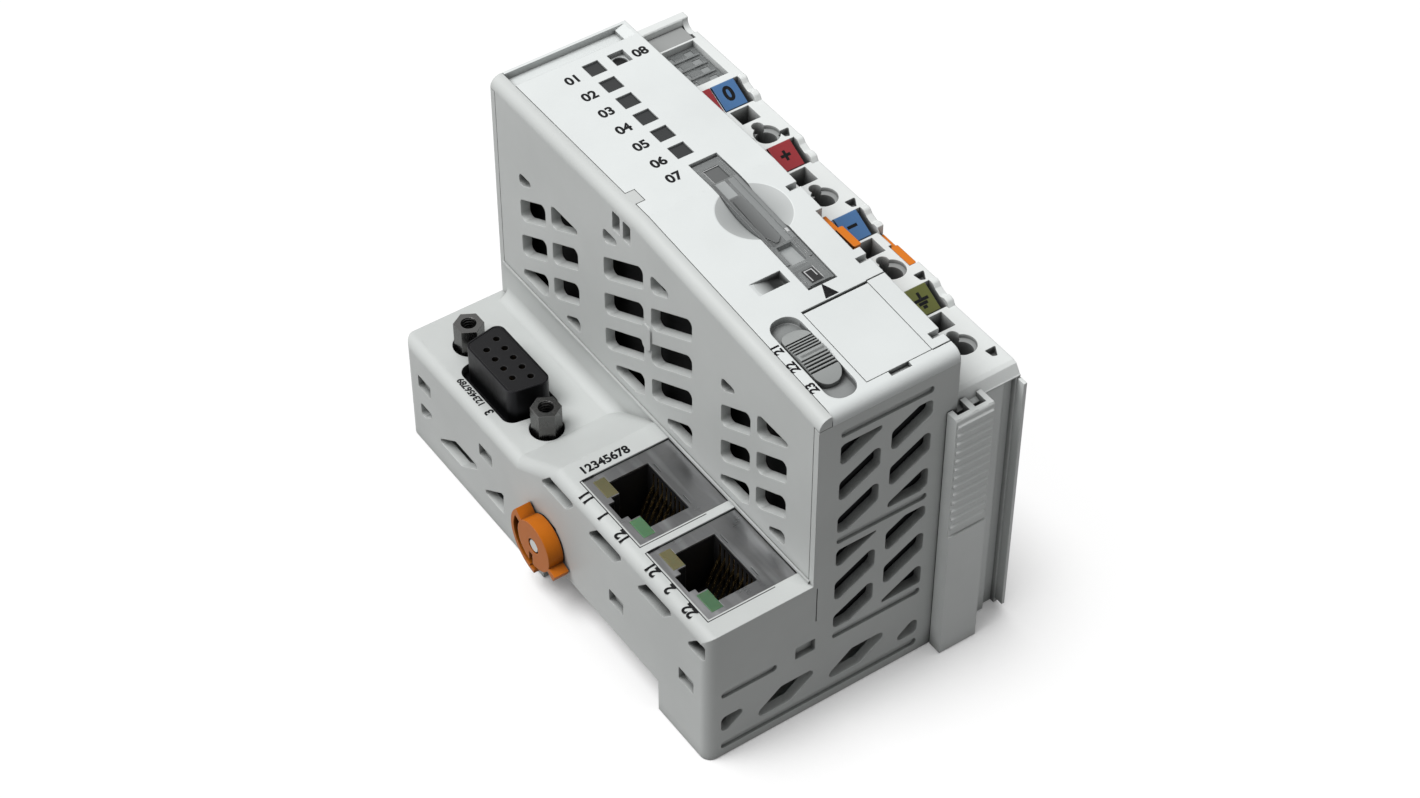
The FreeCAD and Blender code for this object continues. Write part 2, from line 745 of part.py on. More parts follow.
def card_cover():
    """Clear cover over the card slot: see-through window, long rib, side rails and a loop for a seal."""
    hinge_y, hinge_z = card_hinge()
    low = card_low + card_end_gap
    x0 = card_left + 0.15
    x1 = card_right - 0.15
    outline = [(low, front_z(low) - card_sunk), (front_bend, front_depth - card_sunk),
               (hinge_y, front_depth - card_sunk), (hinge_y, front_depth - card_sunk - card_thickness),
               (front_bend, front_depth - card_sunk - card_thickness),
               (low, front_z(low) - card_sunk - card_thickness)]
    leaf = prism("yz", outline, x0, x1)
    knuckle = rod("x", (x0, hinge_y, hinge_z), card_thickness / 2, x1 - x0)
    loop_low = low
    loop_high = low + 5.0
    loop_top = front_z(low)
    loop = box(x0 + 0.6, x1 - 0.6, loop_low, loop_high, loop_top - 3.2, loop_top)
    hollow = box(x0 + 1.2, x1 - 1.2, loop_low - 1, loop_high - 0.8, loop_top - 2.2, loop_top - 0.7)
    seal_hole = rod("x", (x0 - 1, loop_low + 2.2, loop_top - 1.5), 0.7, x1 - x0 + 2)
    rails = []
    for x in (x0, x1 - 0.9):
        rails.append(prism("yz", [(low + 5.5, front_z(low + 5.5) - card_sunk - 0.2),
                                  (low + 5.5, front_z(low + 5.5)), (front_bend, front_depth),
                                  (hinge_y - 1.2, front_depth), (hinge_y - 1.2, front_depth - card_sunk - 0.2),
                                  (front_bend, front_depth - card_sunk - 0.2)], x, x + 0.6))
    x_rib = (x0 + x1) / 2 - 1.0
    rib = prism("xy", [(x_rib, rib_low), (x_rib + 1.3, rib_low + 1.2), (x_rib + 1.5, rib_high - 2.5),
                       (x_rib + 0.8, rib_high), (x_rib - 0.7, rib_high - 0.6), (x_rib - 1.1, rib_low + 2.5)],
                front_low_depth - card_thickness, front_depth, 0.5)
    rib = rib.common(prism("yz", [(0, front_z(0) - card_sunk - 0.2), (0, front_z(0)), (front_bend, front_depth),
                                  (front_bend, front_depth - card_sunk - 0.2)], x0, x1))
    cover = join([leaf, knuckle, card_pegs(0), loop, rib] + rails)
    window = prism("xy", rectangle(x0 + 0.9, x1 - 1.2, rib_high + 4.4, hinge_y - 1.4),
                   front_depth - 4, front_depth + 1, 0.3)
    step = box(x0 + 0.9, x1 - 1.4, low + 5.4, rib_low - 0.4, front_z(low) - card_sunk - 0.3, front_depth + 1)
    return cover.cut([hollow, seal_hole, window, step])


def reset_button():
    x = reset_left + window_width / 2
    y = window_first + window_height / 2
    foot = front_board_top + reset_switch_height + reset_travel + 0.1
    stem = rod("z", (x, y, foot), reset_radius, front_depth - 1.4 - foot)
    collar = rod("z", (x, y, foot), reset_radius + 0.5, 1.2)
    return join([stem, collar])


# ---------------------------------------------------------------- clamp module

def columns():
    return [column_left, column_left + column_pitch]


def clamp_cells():
    """Cutters of the eight clamp points."""
    tools = []
    half = square_size / 2
    for y in rows():
        wire_y = y + wire_offset
        face = terminal_z(y)
        for column in columns():
            x = column + wire_shift
            tools.append(box(column - half, column + half, y - half, y + half, chamber_low + 4, face + 3))
            tools.append(rod("z", (x, wire_y, face - wire_depth - 1.0), wire_radius, wire_depth + 4))
            tools.append(rod("z", (x + 0.45, wire_y + 0.35, face - 0.8), ring_radius, 4))
            tools.append(rod("z", (x + 0.3, wire_y + 2.85, face - wire_depth + 1.0), lobe_radius, wire_depth))
            tools.append(box(x - wire_radius, column + 1.9, wire_y - 2.3, y + half, chamber_low, face - wire_depth))
            low, high = marker_span(y)
            right = column + marker_width / 2 + seam
            if column > column_left:
                right = ear_left
            pocket = rectangle(column - marker_width / 2 - seam, right, low - seam, high + seam)
            tools.append(prism("xy", pocket, face - marker_pocket, face + step_height + 3))
    return tools


def marker_span(row):
    """Low and high edge of the ramp and marker above a row."""
    return row + marker_offset, row + marker_offset + marker_length


def edge_ears():
    """Wall at the right edge beside each ramp, with a lobe at both ends and a dip between."""
    ears = []
    for row in rows():
        low, high = marker_span(row)
        step = terminal_z(row)
        above = step + step_height
        outline = [(low - 0.7, step - 1.5), (high + 0.6, step - 1.5), (high + 0.6, above), (high - 0.9, above + 0.15),
                   (high - 1.9, step + 1.0), (low + 1.5, step + 0.75), (low + 0.9, step + 1.15),
                   (low - 0.1, step + 1.0), (low - 0.7, step)]
        ears.append(prism("yz", outline, ear_left, housing_width, 0.7))
    return ears


def tab_channels():
    """Channels for the two release straps, their arms and the latches at the rail."""
    tools = []
    low = tab_low - travel_gap
    high = tab_high + travel_gap
    right_low = right_tab_top - 1.3
    tools.append(box(housing_width - 1.8, housing_width + 1, low, tab_low + tab_head + travel_gap, right_low - 0.3,
                     front_depth))
    for x0, x1 in ((block_right - 1, block_right + strap_channel),
                   (housing_width - strap_channel + fit, housing_width + 1)):
        tools.append(box(x0, x1, low, high, rail_seat - 1, front_depth))
        tools.append(box(x0, x1, low, latch_end + 0.6, rail_seat + 0.2, arm_top + tab_travel + travel_gap))
        tools.append(box(x0, x1, spring_low - 0.8, spring_low + spring_length + 0.8, arm_top, arm_top + spring_room))
        tools.append(box(x0, x1, channel_high - 0.5, latch_end + latch_travel + 0.5, latch_low - 0.1,
                         latch_high + 0.1))
        tools.append(box(x0, x1, latch_end - 8.6, latch_end + 0.6, latch_high - 0.1, rail_seat + 0.3))
    return tools


def contact_openings():
    """Openings of the side contacts to the next module, in the right face."""
    tools = [box(housing_width - 1.1, housing_width + 1, data_low - 1.5, data_low + 5 * data_pitch + 1.5,
                 data_z - 2.4, data_z + 2.4)]
    for y in power_places:
        tools.append(box(housing_width - 7.0, housing_width + 1, y - 0.9, y + 0.9, power_z - 4.5, power_z + 4.5))
    return tools


def grip(standoff_wall):
    """Ribbed grip strip that stands off the low end wall on two flanks."""
    left = block_right - 2.1
    right = left + 7.7
    top = terminal_low_depth - 0.9
    face = -grip_standout
    plate = box(left, right, face + 0.35, face + 1.4, 0, top)
    plate = round_edges(plate, 0.5, lambda a, b: near(a.y, face + 0.35) and near(b.y, face + 0.35)
                        and near(a.z, top) and near(b.z, top))
    flank = box(left, left + 1.0, face + 0.6, -0.2, 0, top)
    web = box(left + 3.4, left + 4.5, face + 0.6, standoff_wall + 0.2, 0, top)
    right_flank = box(right - 1.0, right, face + 0.6, standoff_wall + 0.2, 0, top)
    ribs = []
    for index in range(13):
        z = top - 1.6 - index * 1.95
        ribs.append(prism("yz", [(face + 0.4, z - 0.55), (face, z - 0.2), (face, z + 0.2), (face + 0.4, z + 0.55)],
                          left + 0.3, right - 0.3))
    edge = box(left, right, face, face + 0.6, 0, top - 1.6 - 13 * 1.95)
    return [plate, flank, web, right_flank, edge] + ribs


def terminal_housing():
    x0 = block_right
    x1 = housing_width
    high = length + grip_standout - 0.15
    low_wall = 0.8
    outline = [(0, 0), (0, terminal_low_depth - 2.2), (0.9, terminal_low_depth - 1.9),
               (2.0, terminal_low_depth - 0.3), (2.8, terminal_low_depth)]
    for row in rows():
        outline += [(y, terminal_z(y)) for y in marker_span(row)]
    outline += [(slot_high - 0.9, terminal_depth), (slot_high + 0.2, terminal_depth + 1.4),
                (high - 0.6, terminal_depth + 1.4), (high, terminal_depth + 0.8),
                (high, terminal_head + 4.5), (length - low_wall, terminal_head), (length - low_wall, 0)]
    solid = prism("yz", outline, x0 + fit, x1)
    tools = [rail_channel(x0 - 1, x1 + 1)]
    tools.append(box(x0 + 5.6, x1 + 1, -1, low_wall, -1, terminal_low_depth - 2.0))
    groove = box(x1 - 3.3, x1 - 0.9, low_wall - 1, low_wall + 0.9, -1, terminal_low_depth - 2.0)
    tools.append(groove)
    tools.append(move(flip(groove), y=-0.0))
    inner_left = x0 + strap_channel + 0.5
    inner_right = x1 - terminal_wall - 0.6
    rooms = [box(inner_left, inner_right, low_wall + 1.4, channel_low - 1.4, 1.4, chamber_low - 1.6),
             box(inner_left, inner_right, low_wall + 1.4, length - 2.4, rail_seat + 1.4, chamber_low - 1.6),
             box(inner_left, inner_right, channel_high + 1.4, length - 2.4, 1.4, chamber_low - 1.6)]
    tools += rooms
    tools += clamp_cells()
    tools += tab_channels()
    tools += contact_openings()
    tools.append(box(indicator_left, indicator_right, indicator_low, indicator_high,
                     terminal_depth - 7.5, terminal_depth + 3))
    tools.append(box(inner_left, inner_right, indicator_low - 0.4, indicator_high, chamber_low + 2,
                     terminal_depth - 5.0))
    tools.append(box(x0 - 1, x1 - 1.1, slot_low, slot_high, terminal_depth - slot_depth, terminal_depth + 4))
    tools.append(rod("x", (x1 - 1.2, slot_high - 1.5, terminal_depth + 0.9), 1.6, 2))
    y0, y1, z0, z1 = bus_window
    tools.append(box(x0 - 1, inner_left + 1, y0, y1, z0, z1))
    for index in range(4):
        y = notch_first + 0.5 + index * notch_pitch
        tools.append(prism("xy", [(x1 - 2.4, y), (x1 - 1.6, y - 0.3), (x1 - 0.5, y + 1.7), (x1 - 2.7, y + 1.7)],
                           terminal_z(y) - 1.5, terminal_z(y) + 3, 0.2))
    body = join([solid.cut(tools)] + [ear.cut(tab_channels()) for ear in edge_ears()])
    low_rib = box(x1 - 0.6, x1, -1.0, low_wall + 0.3, 1.0, terminal_low_depth - 2.4)
    additions = grip(low_wall) + [low_rib]
    mirrored = [flip(piece) for piece in additions]
    shelves = [box(inner_left - 0.2, inner_left + 0.8, 60.0, 76.0, terminal_board_top - 2.0, terminal_board_top),
               fixed_hook(x0 + 3.0, x1 - 4.0)]
    return join([body] + additions + mirrored + shelves)


def release_tab(x0, x1, head_x0, head_x1, top, head_height):
    """Pull tab with its strap, arm and the wedge that drives the rail latch."""
    strap = box(x0, x1, tab_low, tab_high, arm_low, top - 0.5)
    head = prism("xy", rectangle(head_x0, head_x1, tab_low, tab_low + tab_head), top - head_height, top, 0.3)
    arm = box(x0, x1, tab_high - 1.0, latch_end - 8.0, arm_low, arm_top)
    return join([strap, head, arm, wedge(x0, x1)])


def wedge(x0, x1):
    """Wedge at the end of the arm, its face leaning by latch travel over tab travel."""
    lean = latch_travel / tab_travel
    y = latch_end - 6.6
    z0 = arm_low
    z1 = arm_top
    return prism("yz", [(latch_end - 8.6, z0), (y, z0), (y - lean * (z1 - z0), z1), (latch_end - 8.6, z1)], x0, x1)


def rail_latch(x0, x1):
    """Bolt that slides under the high flange of the rail, with the horn the wedge pushes."""
    lean = latch_travel / tab_travel
    nose = rail_centre + rail_width / 2 - latch_reach
    bolt = prism("yz", [(nose + 1.4, latch_low), (latch_end, latch_low), (latch_end, latch_high),
                        (nose, latch_high), (nose, latch_high - 0.7)], x0, x1)
    z0 = latch_high - 0.1
    z1 = arm_top + tab_travel - 0.4
    y = latch_end - 6.6 + travel_gap
    z_ref = arm_low
    horn = prism("yz", [(y - lean * (z0 - z_ref), z0), (latch_end - 3.2, z0), (latch_end - 3.2, z1),
                        (y - lean * (z1 - z_ref), z1)], x0, x1)
    return join([bolt, horn])


def return_spring(x0, x1):
    """Folded leaf spring that stands on the arm of a release tab and pushes it back down."""
    folds = 4
    leaf = 0.3
    foot = arm_top
    pitch = (spring_room - leaf) / folds
    near_end = spring_low
    far_end = spring_low + spring_length
    pieces = []
    for index in range(folds):
        y0, y1 = (near_end, far_end) if index % 2 == 0 else (far_end, near_end)
        z0 = foot + index * pitch
        z1 = z0 + pitch
        pieces.append(prism("yz", [(y0, z0), (y1, z1), (y1, z1 + leaf), (y0, z0 + leaf)], x0, x1))
        inner = y1 - 0.3 if y1 == far_end else y1
        if index < folds - 1:
            pieces.append(box(x0, x1, inner, inner + 0.3, z1 - 0.05, z1 + leaf + 0.05))
    pieces.append(box(x0, x1, near_end, near_end + 1.2, foot, foot + leaf))
    pieces.append(box(x0, x1, near_end, near_end + 1.2, foot + spring_room - leaf, foot + spring_room))
    return join(pieces)


# ---------------------------------------------------------------- clamps and markers

def clamp_spring(x, y):
    """Cage spring of one clamp point: a bent steel strip that presses the wire on the bar."""
    thick = 0.4
    half = 1.55
    base = chamber_low + 1.2
    top = terminal_z(y) - wire_depth - 0.4
    back = y + square_size / 2 - 0.3
    front = y + wire_offset - 0.8
    tip = y + wire_offset + wire_radius + fit
    strip = [(front, base), (back, base), (back, top), (tip, top), (tip, top - thick),
             (back - thick, top - thick), (back - thick, base + thick), (front, base + thick)]
    return prism("yz", strip, x - half, x + half, 0.35)


def clamp_bar(x, y):
    """Current bar that lies on the floor of the clamp chamber."""
    front = y + wire_offset - 2.2
    back = y + square_size / 2 - 0.1
    bar = box(x - 1.7, x + 1.7, front, back, chamber_low, chamber_low + 1.2)
    return bar


def marker(x, y):
    """Colour marker clipped into its pocket beside a clamp point."""
    low, high = marker_span(y)
    floor = terminal_z(low) - marker_pocket
    outline = [(low, floor), (high, floor), (high, terminal_z(high) + 0.45), (low, terminal_z(low) + 0.15)]
    plate = prism("yz", outline, x - marker_width / 2, x + marker_width / 2)
    return round_edges(plate, 0.25, lambda a, b: near(a.y, high) and near(b.y, high)
                       and near(a.z, terminal_z(high) + 0.45) and near(b.z, terminal_z(high) + 0.45))


def marker_sets():
    """Red, blue and earth markers, by row from the low end and by column."""
    low_row, third, second, top_row = rows()
    left, right = columns()
    red = [marker(left, top_row), marker(left, second), marker(right, second)]
    blue = [marker(right, top_row), marker(left, third), marker(right, third)]
    earth = [marker(left, low_row), marker(right, low_row)]
    return red, blue, earth


# ---------------------------------------------------------------- indicators

def indicator_posts():
    """Middles of the eight indicator posts."""
    posts = []
    for row in range(4):
        y = indicator_low + 1.75 + row * 2.58
        for x in (indicator_right - 5.8, indicator_right - 1.75):
            posts.append((x, y))
    return posts


def indicator_window():
    """Smoked window with a raised bar under each pair of light posts."""
    top = terminal_depth - indicator_sunk
    plate = box(indicator_left + fit, indicator_right - fit, indicator_low + fit, indicator_high - fit,
                top - 1.3, top)
    holes = [post(x, y, 0.0, top - 2, top + 1) for x, y in indicator_posts()]
    bars = []
    for x, y in indicator_posts()[::2]:
        bars.append(box(indicator_left + 0.6, indicator_right - 0.6, y - 1.45, y - 1.0, top - 0.1, top + 0.4))
    return join([plate.cut(holes)] + bars)


def post(x, y, gap, low, high):
    """Square post of an indicator, smaller all round by gap."""
    return box(x - 0.85 + gap, x + 0.85 - gap, y - 0.65 + gap, y + 0.65 - gap, low, high)


def indicator_guides():
    """Dark posts that lead the light of each lamp up to the window."""
    top = terminal_depth - indicator_sunk
    return [post(x, y, fit, terminal_depth - 6.2, top - 0.1) for x, y in indicator_posts()]


def label_plate():
    """Plain grey plate that lies in the recess at the high end of the clamp face."""
    return box(block_right + 0.3, housing_width - 1.5, slot_low + 0.1, slot_high - 0.1,
               terminal_depth - slot_depth, terminal_depth - 0.1)


def indicator_board():
    z = terminal_depth - 7.1 - board_thickness
    inner_left = block_right + strap_channel + 0.5
    inner_right = housing_width - terminal_wall - 0.6
    return box(inner_left + fit, inner_right - fit, indicator_low, indicator_high - fit, z, z + board_thickness)


def indicator_lights():
    z = terminal_depth - 7.1
    return [box(x - 0.5, x + 0.5, y - 0.4, y + 0.4, z, z + 0.9) for x, y in indicator_posts()]


# ---------------------------------------------------------------- network sockets

def jack_opening(x, y):
    """Opening of a socket for its plug: mouth, shoulder and latch notch."""
    middle = y + jack_size / 2
    return [rectangle(x + 3.55, x + 11.3, middle - 6.1, middle + 6.1),
            rectangle(x + 1.9, x + 3.56, middle - 3.0, middle + 3.0),
            rectangle(x + 0.7, x + 1.91, middle - 2.0, middle + 2.0)]


def jack_lamp_places(x, y):
    middle = y + jack_size / 2
    return (x + 1.3, middle + 3.2), (x + 1.3, middle - 7.6)


def jack_shield(x, y):
    """Folded sheet-steel shell with its face plate and a contact spring cut into it."""
    top = port_depth - 0.25
    low = board_low + board_thickness
    outer = box(x, x + jack_size, y, y + jack_size, low, top)
    inner = box(x + jack_plate, x + jack_size - jack_plate, y + jack_plate, y + jack_size - jack_plate,
                low - 1, top - jack_plate)
    tools = [inner]
    for outline in jack_opening(x, y):
        tools.append(prism("xy", outline, top - 1, top + 1))
    for lamp_x, lamp_y in jack_lamp_places(x, y):
        tools.append(box(lamp_x, lamp_x + lamp_width, lamp_y, lamp_y + lamp_length, top - 1, top + 1))
    for side in (3.2, jack_size - 5.4):
        tools.append(box(x + jack_size - 5.3, x + jack_size - 5.15, y + side, y + side + 2.2, top - 1, top + 1))
    return outer.cut(tools)


def jack_body(x, y):
    """Moulded insert with the plug room, the comb of the contacts and the lamp seats."""
    top = port_depth - 0.25 - jack_plate
    low = board_low + board_thickness
    inset = jack_plate
    solid = box(x + inset, x + jack_size - inset, y + inset, y + jack_size - inset, low, top)
    tools = []
    for outline in jack_opening(x, y):
        tools.append(prism("xy", outline, low + 2.0, top + 1))
    for lamp_x, lamp_y in jack_lamp_places(x, y):
        tools.append(box(lamp_x, lamp_x + lamp_width, lamp_y, lamp_y + lamp_length, top - 2.2, top + 1))
    middle = y + jack_size / 2
    for index in range(8):
        wire_y = middle + (index - 3.5) * contact_pitch
        tools.append(box(x + 11.2, x + 12.1, wire_y - 0.3, wire_y + 0.3, low + 3.0, top - 0.8))
    return solid.cut(tools)


def jack_contacts(x, y):
    """Eight contact wires that lean from the mouth down into the plug room."""
    top = port_depth - 0.25 - jack_plate
    low = board_low + board_thickness
    middle = y + jack_size / 2
    wires = []
    for index in range(8):
        wire_y = middle + (index - 3.5) * contact_pitch
        outline = [(x + 11.75, top - 0.9), (x + 11.4, top - 0.9), (x + 11.4, low + 10.4), (x + 8.4, low + 4.4),
                   (x + 8.7, low + 4.1), (x + 11.75, low + 10.3)]
        wires.append(prism("xz", outline, wire_y - 0.2, wire_y + 0.2))
    return wires


def jack_lamps(which):
    """One lamp of each socket, flush with the face plate."""
    top = port_depth - 0.25
    lamps = []
    for index in range(2):
        x, y = jack_place(index)
        lamp_x, lamp_y = jack_lamp_places(x, y)[which]
        lamps.append(box(lamp_x + 0.05, lamp_x + lamp_width - 0.05, lamp_y + 0.05, lamp_y + lamp_length - 0.05,
                         top - jack_plate - 2.2, top))
    return lamps


# ---------------------------------------------------------------- serial socket

def serial_shell():
    """Metal shell with its flange, which lies against the inside of the housing."""
    flange = box(serial_x - 5.9, serial_x + 5.9, serial_y - 15.4, serial_y + 15.4,
                 serial_flange_top - 1.0, serial_flange_top)
    collar = prism("xy", serial_outline(0), serial_flange_top - 1.0, serial_top, 1.6)
    hollow = prism("xy", serial_outline(-0.35), serial_flange_top - 2, serial_top + 1, 1.3)
    tools = [hollow]
    for y in nut_places():
        tools.append(rod("z", (serial_x, y, serial_flange_top - 2), nut_stud, 4))
    return join([flange, collar]).cut(tools)


def serial_pins():
    """Middles of the nine contacts: five towards +X, four towards -X."""
    places = [(serial_x + 1.42, serial_y + (index - 2) * 2.77) for index in range(5)]
    places += [(serial_x - 1.42, serial_y + (index - 1.5) * 2.77) for index in range(4)]
    return places


def serial_insert():
    """Insulator with nine contact holes and a foot on the board."""
    face = prism("xy", serial_outline(-0.4), board_low + board_thickness, serial_top - 0.1, 1.25)
    tools = [rod("z", (x, y, serial_top - 6), 0.62, 7) for x, y in serial_pins()]
    return face.cut(tools)


def serial_contacts():
    """Nine sleeves at the bottom of the contact holes."""
    sleeves = []
    for x, y in serial_pins():
        sleeve = rod("z", (x, y, serial_top - 6), 0.55, 4.6)
        sleeves.append(sleeve.cut(rod("z", (x, y, serial_top - 5), 0.36, 5)))
    return sleeves


def serial_nut(y):
    """Hexagonal standoff with its threaded stud through the flange."""
    corner = nut_across / math.sqrt(3)
    points = []
    for index in range(6):
        angle = math.radians(60 * index + 30)
        points.append((serial_x + corner * math.cos(angle), y + corner * math.sin(angle)))
    hexagon = prism("xy", points, serial_flange_top, serial_flange_top + nut_height)
    crown = Part.makeCone(corner + nut_height, corner - 0.25, nut_height + 0.25,
                          Vector(serial_x, y, serial_flange_top), Vector(0, 0, 1))
    hexagon = hexagon.common(crown)
    stud = rod("z", (serial_x, y, serial_flange_top - 4.0), nut_stud - 0.02, 4.2)
    bore = rod("z", (serial_x, y, serial_flange_top + 0.8), nut_bore, nut_height)
    return join([hexagon, stud]).cut(bore)


# ---------------------------------------------------------------- boards and parts on them

def port_board():
    """Low board under the sockets, seated on the ledges of the housing."""
    board = box(wall + 0.3, block_right - wall - 0.3, wall + 1.0, length - wall - 1.0,
                board_low, board_low + board_thickness)
    holes = [rod("z", (board_post_x, y, board_low - 1), 0.9, 4) for y in (board_post_y, rail_centre)]
    return board.cut(holes)


def power_board():
    """Upright board that joins the low board and the front board."""
    return box(power_board_x, power_board_x + board_thickness, 8.0, length - 8.0,
               board_low + board_thickness, front_board_low)


def front_board():
    """Board behind the operating face, seated on the ledge and the upright board."""
    x0 = block_left + side_thickness + 1.6
    return box(x0, block_right - wall - 0.25, wall + 1.2, length - wall - 1.2, front_board_low, front_board_top)


def window_place(index):
    """Middle of a status window."""
    return window_left + window_width / 2, window_first + window_height / 2 - index * window_pitch


def light_guides():
    """Smoked light guides that stand on the lamps and end in the windows."""
    guides = []
    for index in range(window_count):
        x, y = window_place(index)
        half_x = window_width / 2 - fit
        half_y = window_height / 2 - fit
        head = box(x - half_x, x + half_x, y - half_y, y + half_y, front_depth - 3.0, front_depth - 0.3)
        neck = box(x - 0.9, x + 0.9, y - 0.9, y + 0.9, front_board_top + 1.0, front_depth - 3.0)
        guides.append(join([head, neck]))
    return guides


def status_lamps():
    lamps = []
    for index in range(window_count):
        x, y = window_place(index)
        lamps.append(box(x - 0.8, x + 0.8, y - 0.8, y + 0.8, front_board_top, front_board_top + 1.0))
    return lamps


def card_socket():
    """Upright card socket below the slot."""
    middle = (card_left + card_right) / 2
    top = front_low_depth - 1.0
    shell = box(middle - 2.0, middle + 2.0, 36.5, 52.5, front_board_top, top)
    mouth = box(middle - 0.55, middle + 0.55, 38.8, 50.2, front_board_top + 1.0, top + 1)
    key = box(middle + 0.5, middle + 1.2, 38.8, 42.0, top - 1.2, top + 1)
    return shell.cut([mouth, key])


def mode_switch_body():
    """Switch that the stem of the slider moves, with a groove for it."""
    middle_x = (mode_left + mode_right) / 2
    middle_y = (mode_low + mode_high) / 2
    top = front_z(mode_low) - cover_thickness - 0.5
    body = box(middle_x - 2.4, middle_x + 2.4, middle_y - 7.4, middle_y + 7.4, front_board_top, top)
    room = mode_travel + 2.3
    groove = box(middle_x - 1.1, middle_x + 1.1, middle_y - room, middle_y + room, front_board_top + 2.0, top + 1)
    return body.cut(groove)


def reset_switch():
    x = reset_left + window_width / 2
    y = window_first + window_height / 2
    body = box(x - 2.2, x + 2.2, y - 2.2, y + 2.2, front_board_top, front_board_top + reset_switch_height - 0.6)
    dome = rod("z", (x, y, front_board_top), 1.2, reset_switch_height)
    return join([body, dome])


def service_connector():
    """Pin header behind the flap: a shrouded block with eight pins."""
    middle = (flap_left + flap_right) / 2 - 0.2
    x0 = middle - connector_width / 2
    x1 = middle + connector_width / 2
    y0 = flap_low + 3.6
    y1 = y0 + connector_length
    top = front_low_depth - 2.6
    block = box(x0, x1, y0, y1, front_board_top, top)
    block = block.cut(box(x0 + 0.6, x1 - 0.6, y0 + 0.6, y1 - 0.6, top - 4.5, top + 1))
    return block, middle, y0, top


def service_pins():
    block, middle, y0, top = service_connector()
    pins = []
    for row in range(4):
        for side in (-1.27, 1.27):
            y = y0 + 1.4 + row * 2.54
            pins.append(box(middle + side - 0.3, middle + side + 0.3, y - 0.3, y + 0.3, top - 4.5, top - 0.6))
    return pins


def board_connectors():
    """Headers between the upright board and the other two."""
    low = board_low + board_thickness
    return [box(power_board_x - 2.4, power_board_x, 14.0, 34.0, low, low + 4.5),
            box(power_board_x - 2.4, power_board_x, 62.0, 82.0, low, low + 4.5),
            box(power_board_x - 2.4, power_board_x, 30.0, 58.0, front_board_low - 4.5, front_board_low)]


def bus_connector():
    """Plug between the upright board and the clamp module."""
    y0, y1, z0, z1 = bus_window
    x0 = power_board_x + board_thickness
    x1 = terminal_board_x
    return box(x0, x1, y0 + 0.4, y1 - 0.4, z0 + 0.4, z1 - 0.4)


def terminal_board():
    """Upright board in the clamp module."""
    notch = box(terminal_board_x - 1, terminal_board_x + board_thickness + 1, 59.8, 76.2,
                terminal_board_top - 2.2, terminal_board_top + 1)
    return box(terminal_board_x, terminal_board_x + board_thickness, 6.0, length - 6.0,
               rail_seat + 2.2, terminal_board_top).cut(notch)


def processor():
    x0 = power_board_x - processor_size - 4.0
    z = board_low + board_thickness
    return box(x0, x0 + processor_size, processor_low, processor_low + processor_size, z, z + processor_height)


def network_transformers():
    z = board_low + board_thickness
    blocks = []
    for index in range(2):
        x = block_left + 2.9
        y = jack_low + index * jack_pitch + 2.0
        blocks.append(box(x, x + transformer_width, y, y + transformer_length, z, z + transformer_height))
    return blocks


def power_capacitors():
    """Electrolytic capacitors lying along the upright board."""
    cans = []
    for y in can_places:
        can = rod("x", (power_board_x - can_length, y, can_level), can_radius, can_length)
        crimp_start = (power_board_x - 2.2, y, can_level)
        crimp = rod("x", crimp_start, can_radius + 1, 0.6).cut(rod("x", crimp_start, can_radius - 0.3, 0.6))
        cans.append(can.cut(crimp))
    return cans


def power_inductor():
    core = box(power_board_x - inductor_size / 2, power_board_x, inductor_low, inductor_low + inductor_size,
               inductor_level, inductor_level + inductor_size)
    return round_edges(core, 1.5, lambda a, b: near(a.y, b.y) and near(a.z, b.z))


# ---------------------------------------------------------------- locking disc

def disc_point(radius, angle):
    turn = math.radians(angle)
    return disc_y + radius * math.cos(turn), disc_z + radius * math.sin(turn)


def ring_sector(inner, outer, start, end, x0, x1):
    """Part of a ring about the disc axis, between two angles in degrees."""
    middle = (start + end) / 2
    points = [Vector(x0, *disc_point(r, a)) for r, a in
              ((inner, start), (outer, start), (outer, middle), (outer, end), (inner, end), (inner, middle))]
    edges = [Part.makeLine(points[0], points[1]), Part.Arc(points[1], points[2], points[3]).toShape(),
             Part.makeLine(points[3], points[4]), Part.Arc(points[4], points[5], points[0]).toShape()]
    return Part.Face(Part.Wire(edges)).extrude(Vector(x1 - x0, 0, 0))


def locking_disc():
    """Disc with two lugs and a spring arm that hooks under the rail flange."""
    x0 = disc_face
    x1 = -disc_gap
    plate = rod("x", (x0, disc_y, disc_z), disc_radius, x1 - x0)
    arm = ring_sector(arm_inner, arm_outer, arm_end, lug_angle, x0, x1)
    root = ring_sector(disc_radius - 0.6, arm_outer, lug_angle - 2, lug_angle + 12, x0, x1)
    far_lug = ring_sector(disc_radius - 0.6, far_lug_outer, lug_angle + 168, lug_angle + 180, x0, x1)
    slot_y, slot_z = disc_point(disc_radius - 1.0, -75.0)
    slot = box(x0 - 1, x1 + 1, slot_y - 0.55, slot_y + 0.55, slot_z - 2.5, slot_z + 1.2)
    eye = rod("x", (x0 - 1, disc_y, disc_z), pivot_radius + fit, 6)
    counter = rod("x", (x0 - 1, disc_y, disc_z), pivot_radius + 0.6, 1.5)
    return join([plate, arm, root, far_lug]).cut([slot, eye, counter])


def disc_pivot():
    """Pin with a flat head that holds the disc on the left wall."""
    head_low = disc_face + 0.1
    head = rod("x", (head_low, disc_y, disc_z), pivot_radius + 0.3, 0.35)
    shaft = rod("x", (head_low, disc_y, disc_z), pivot_radius, wall + 1.0 - head_low)
    return join([head, shaft])


# ---------------------------------------------------------------- side contacts

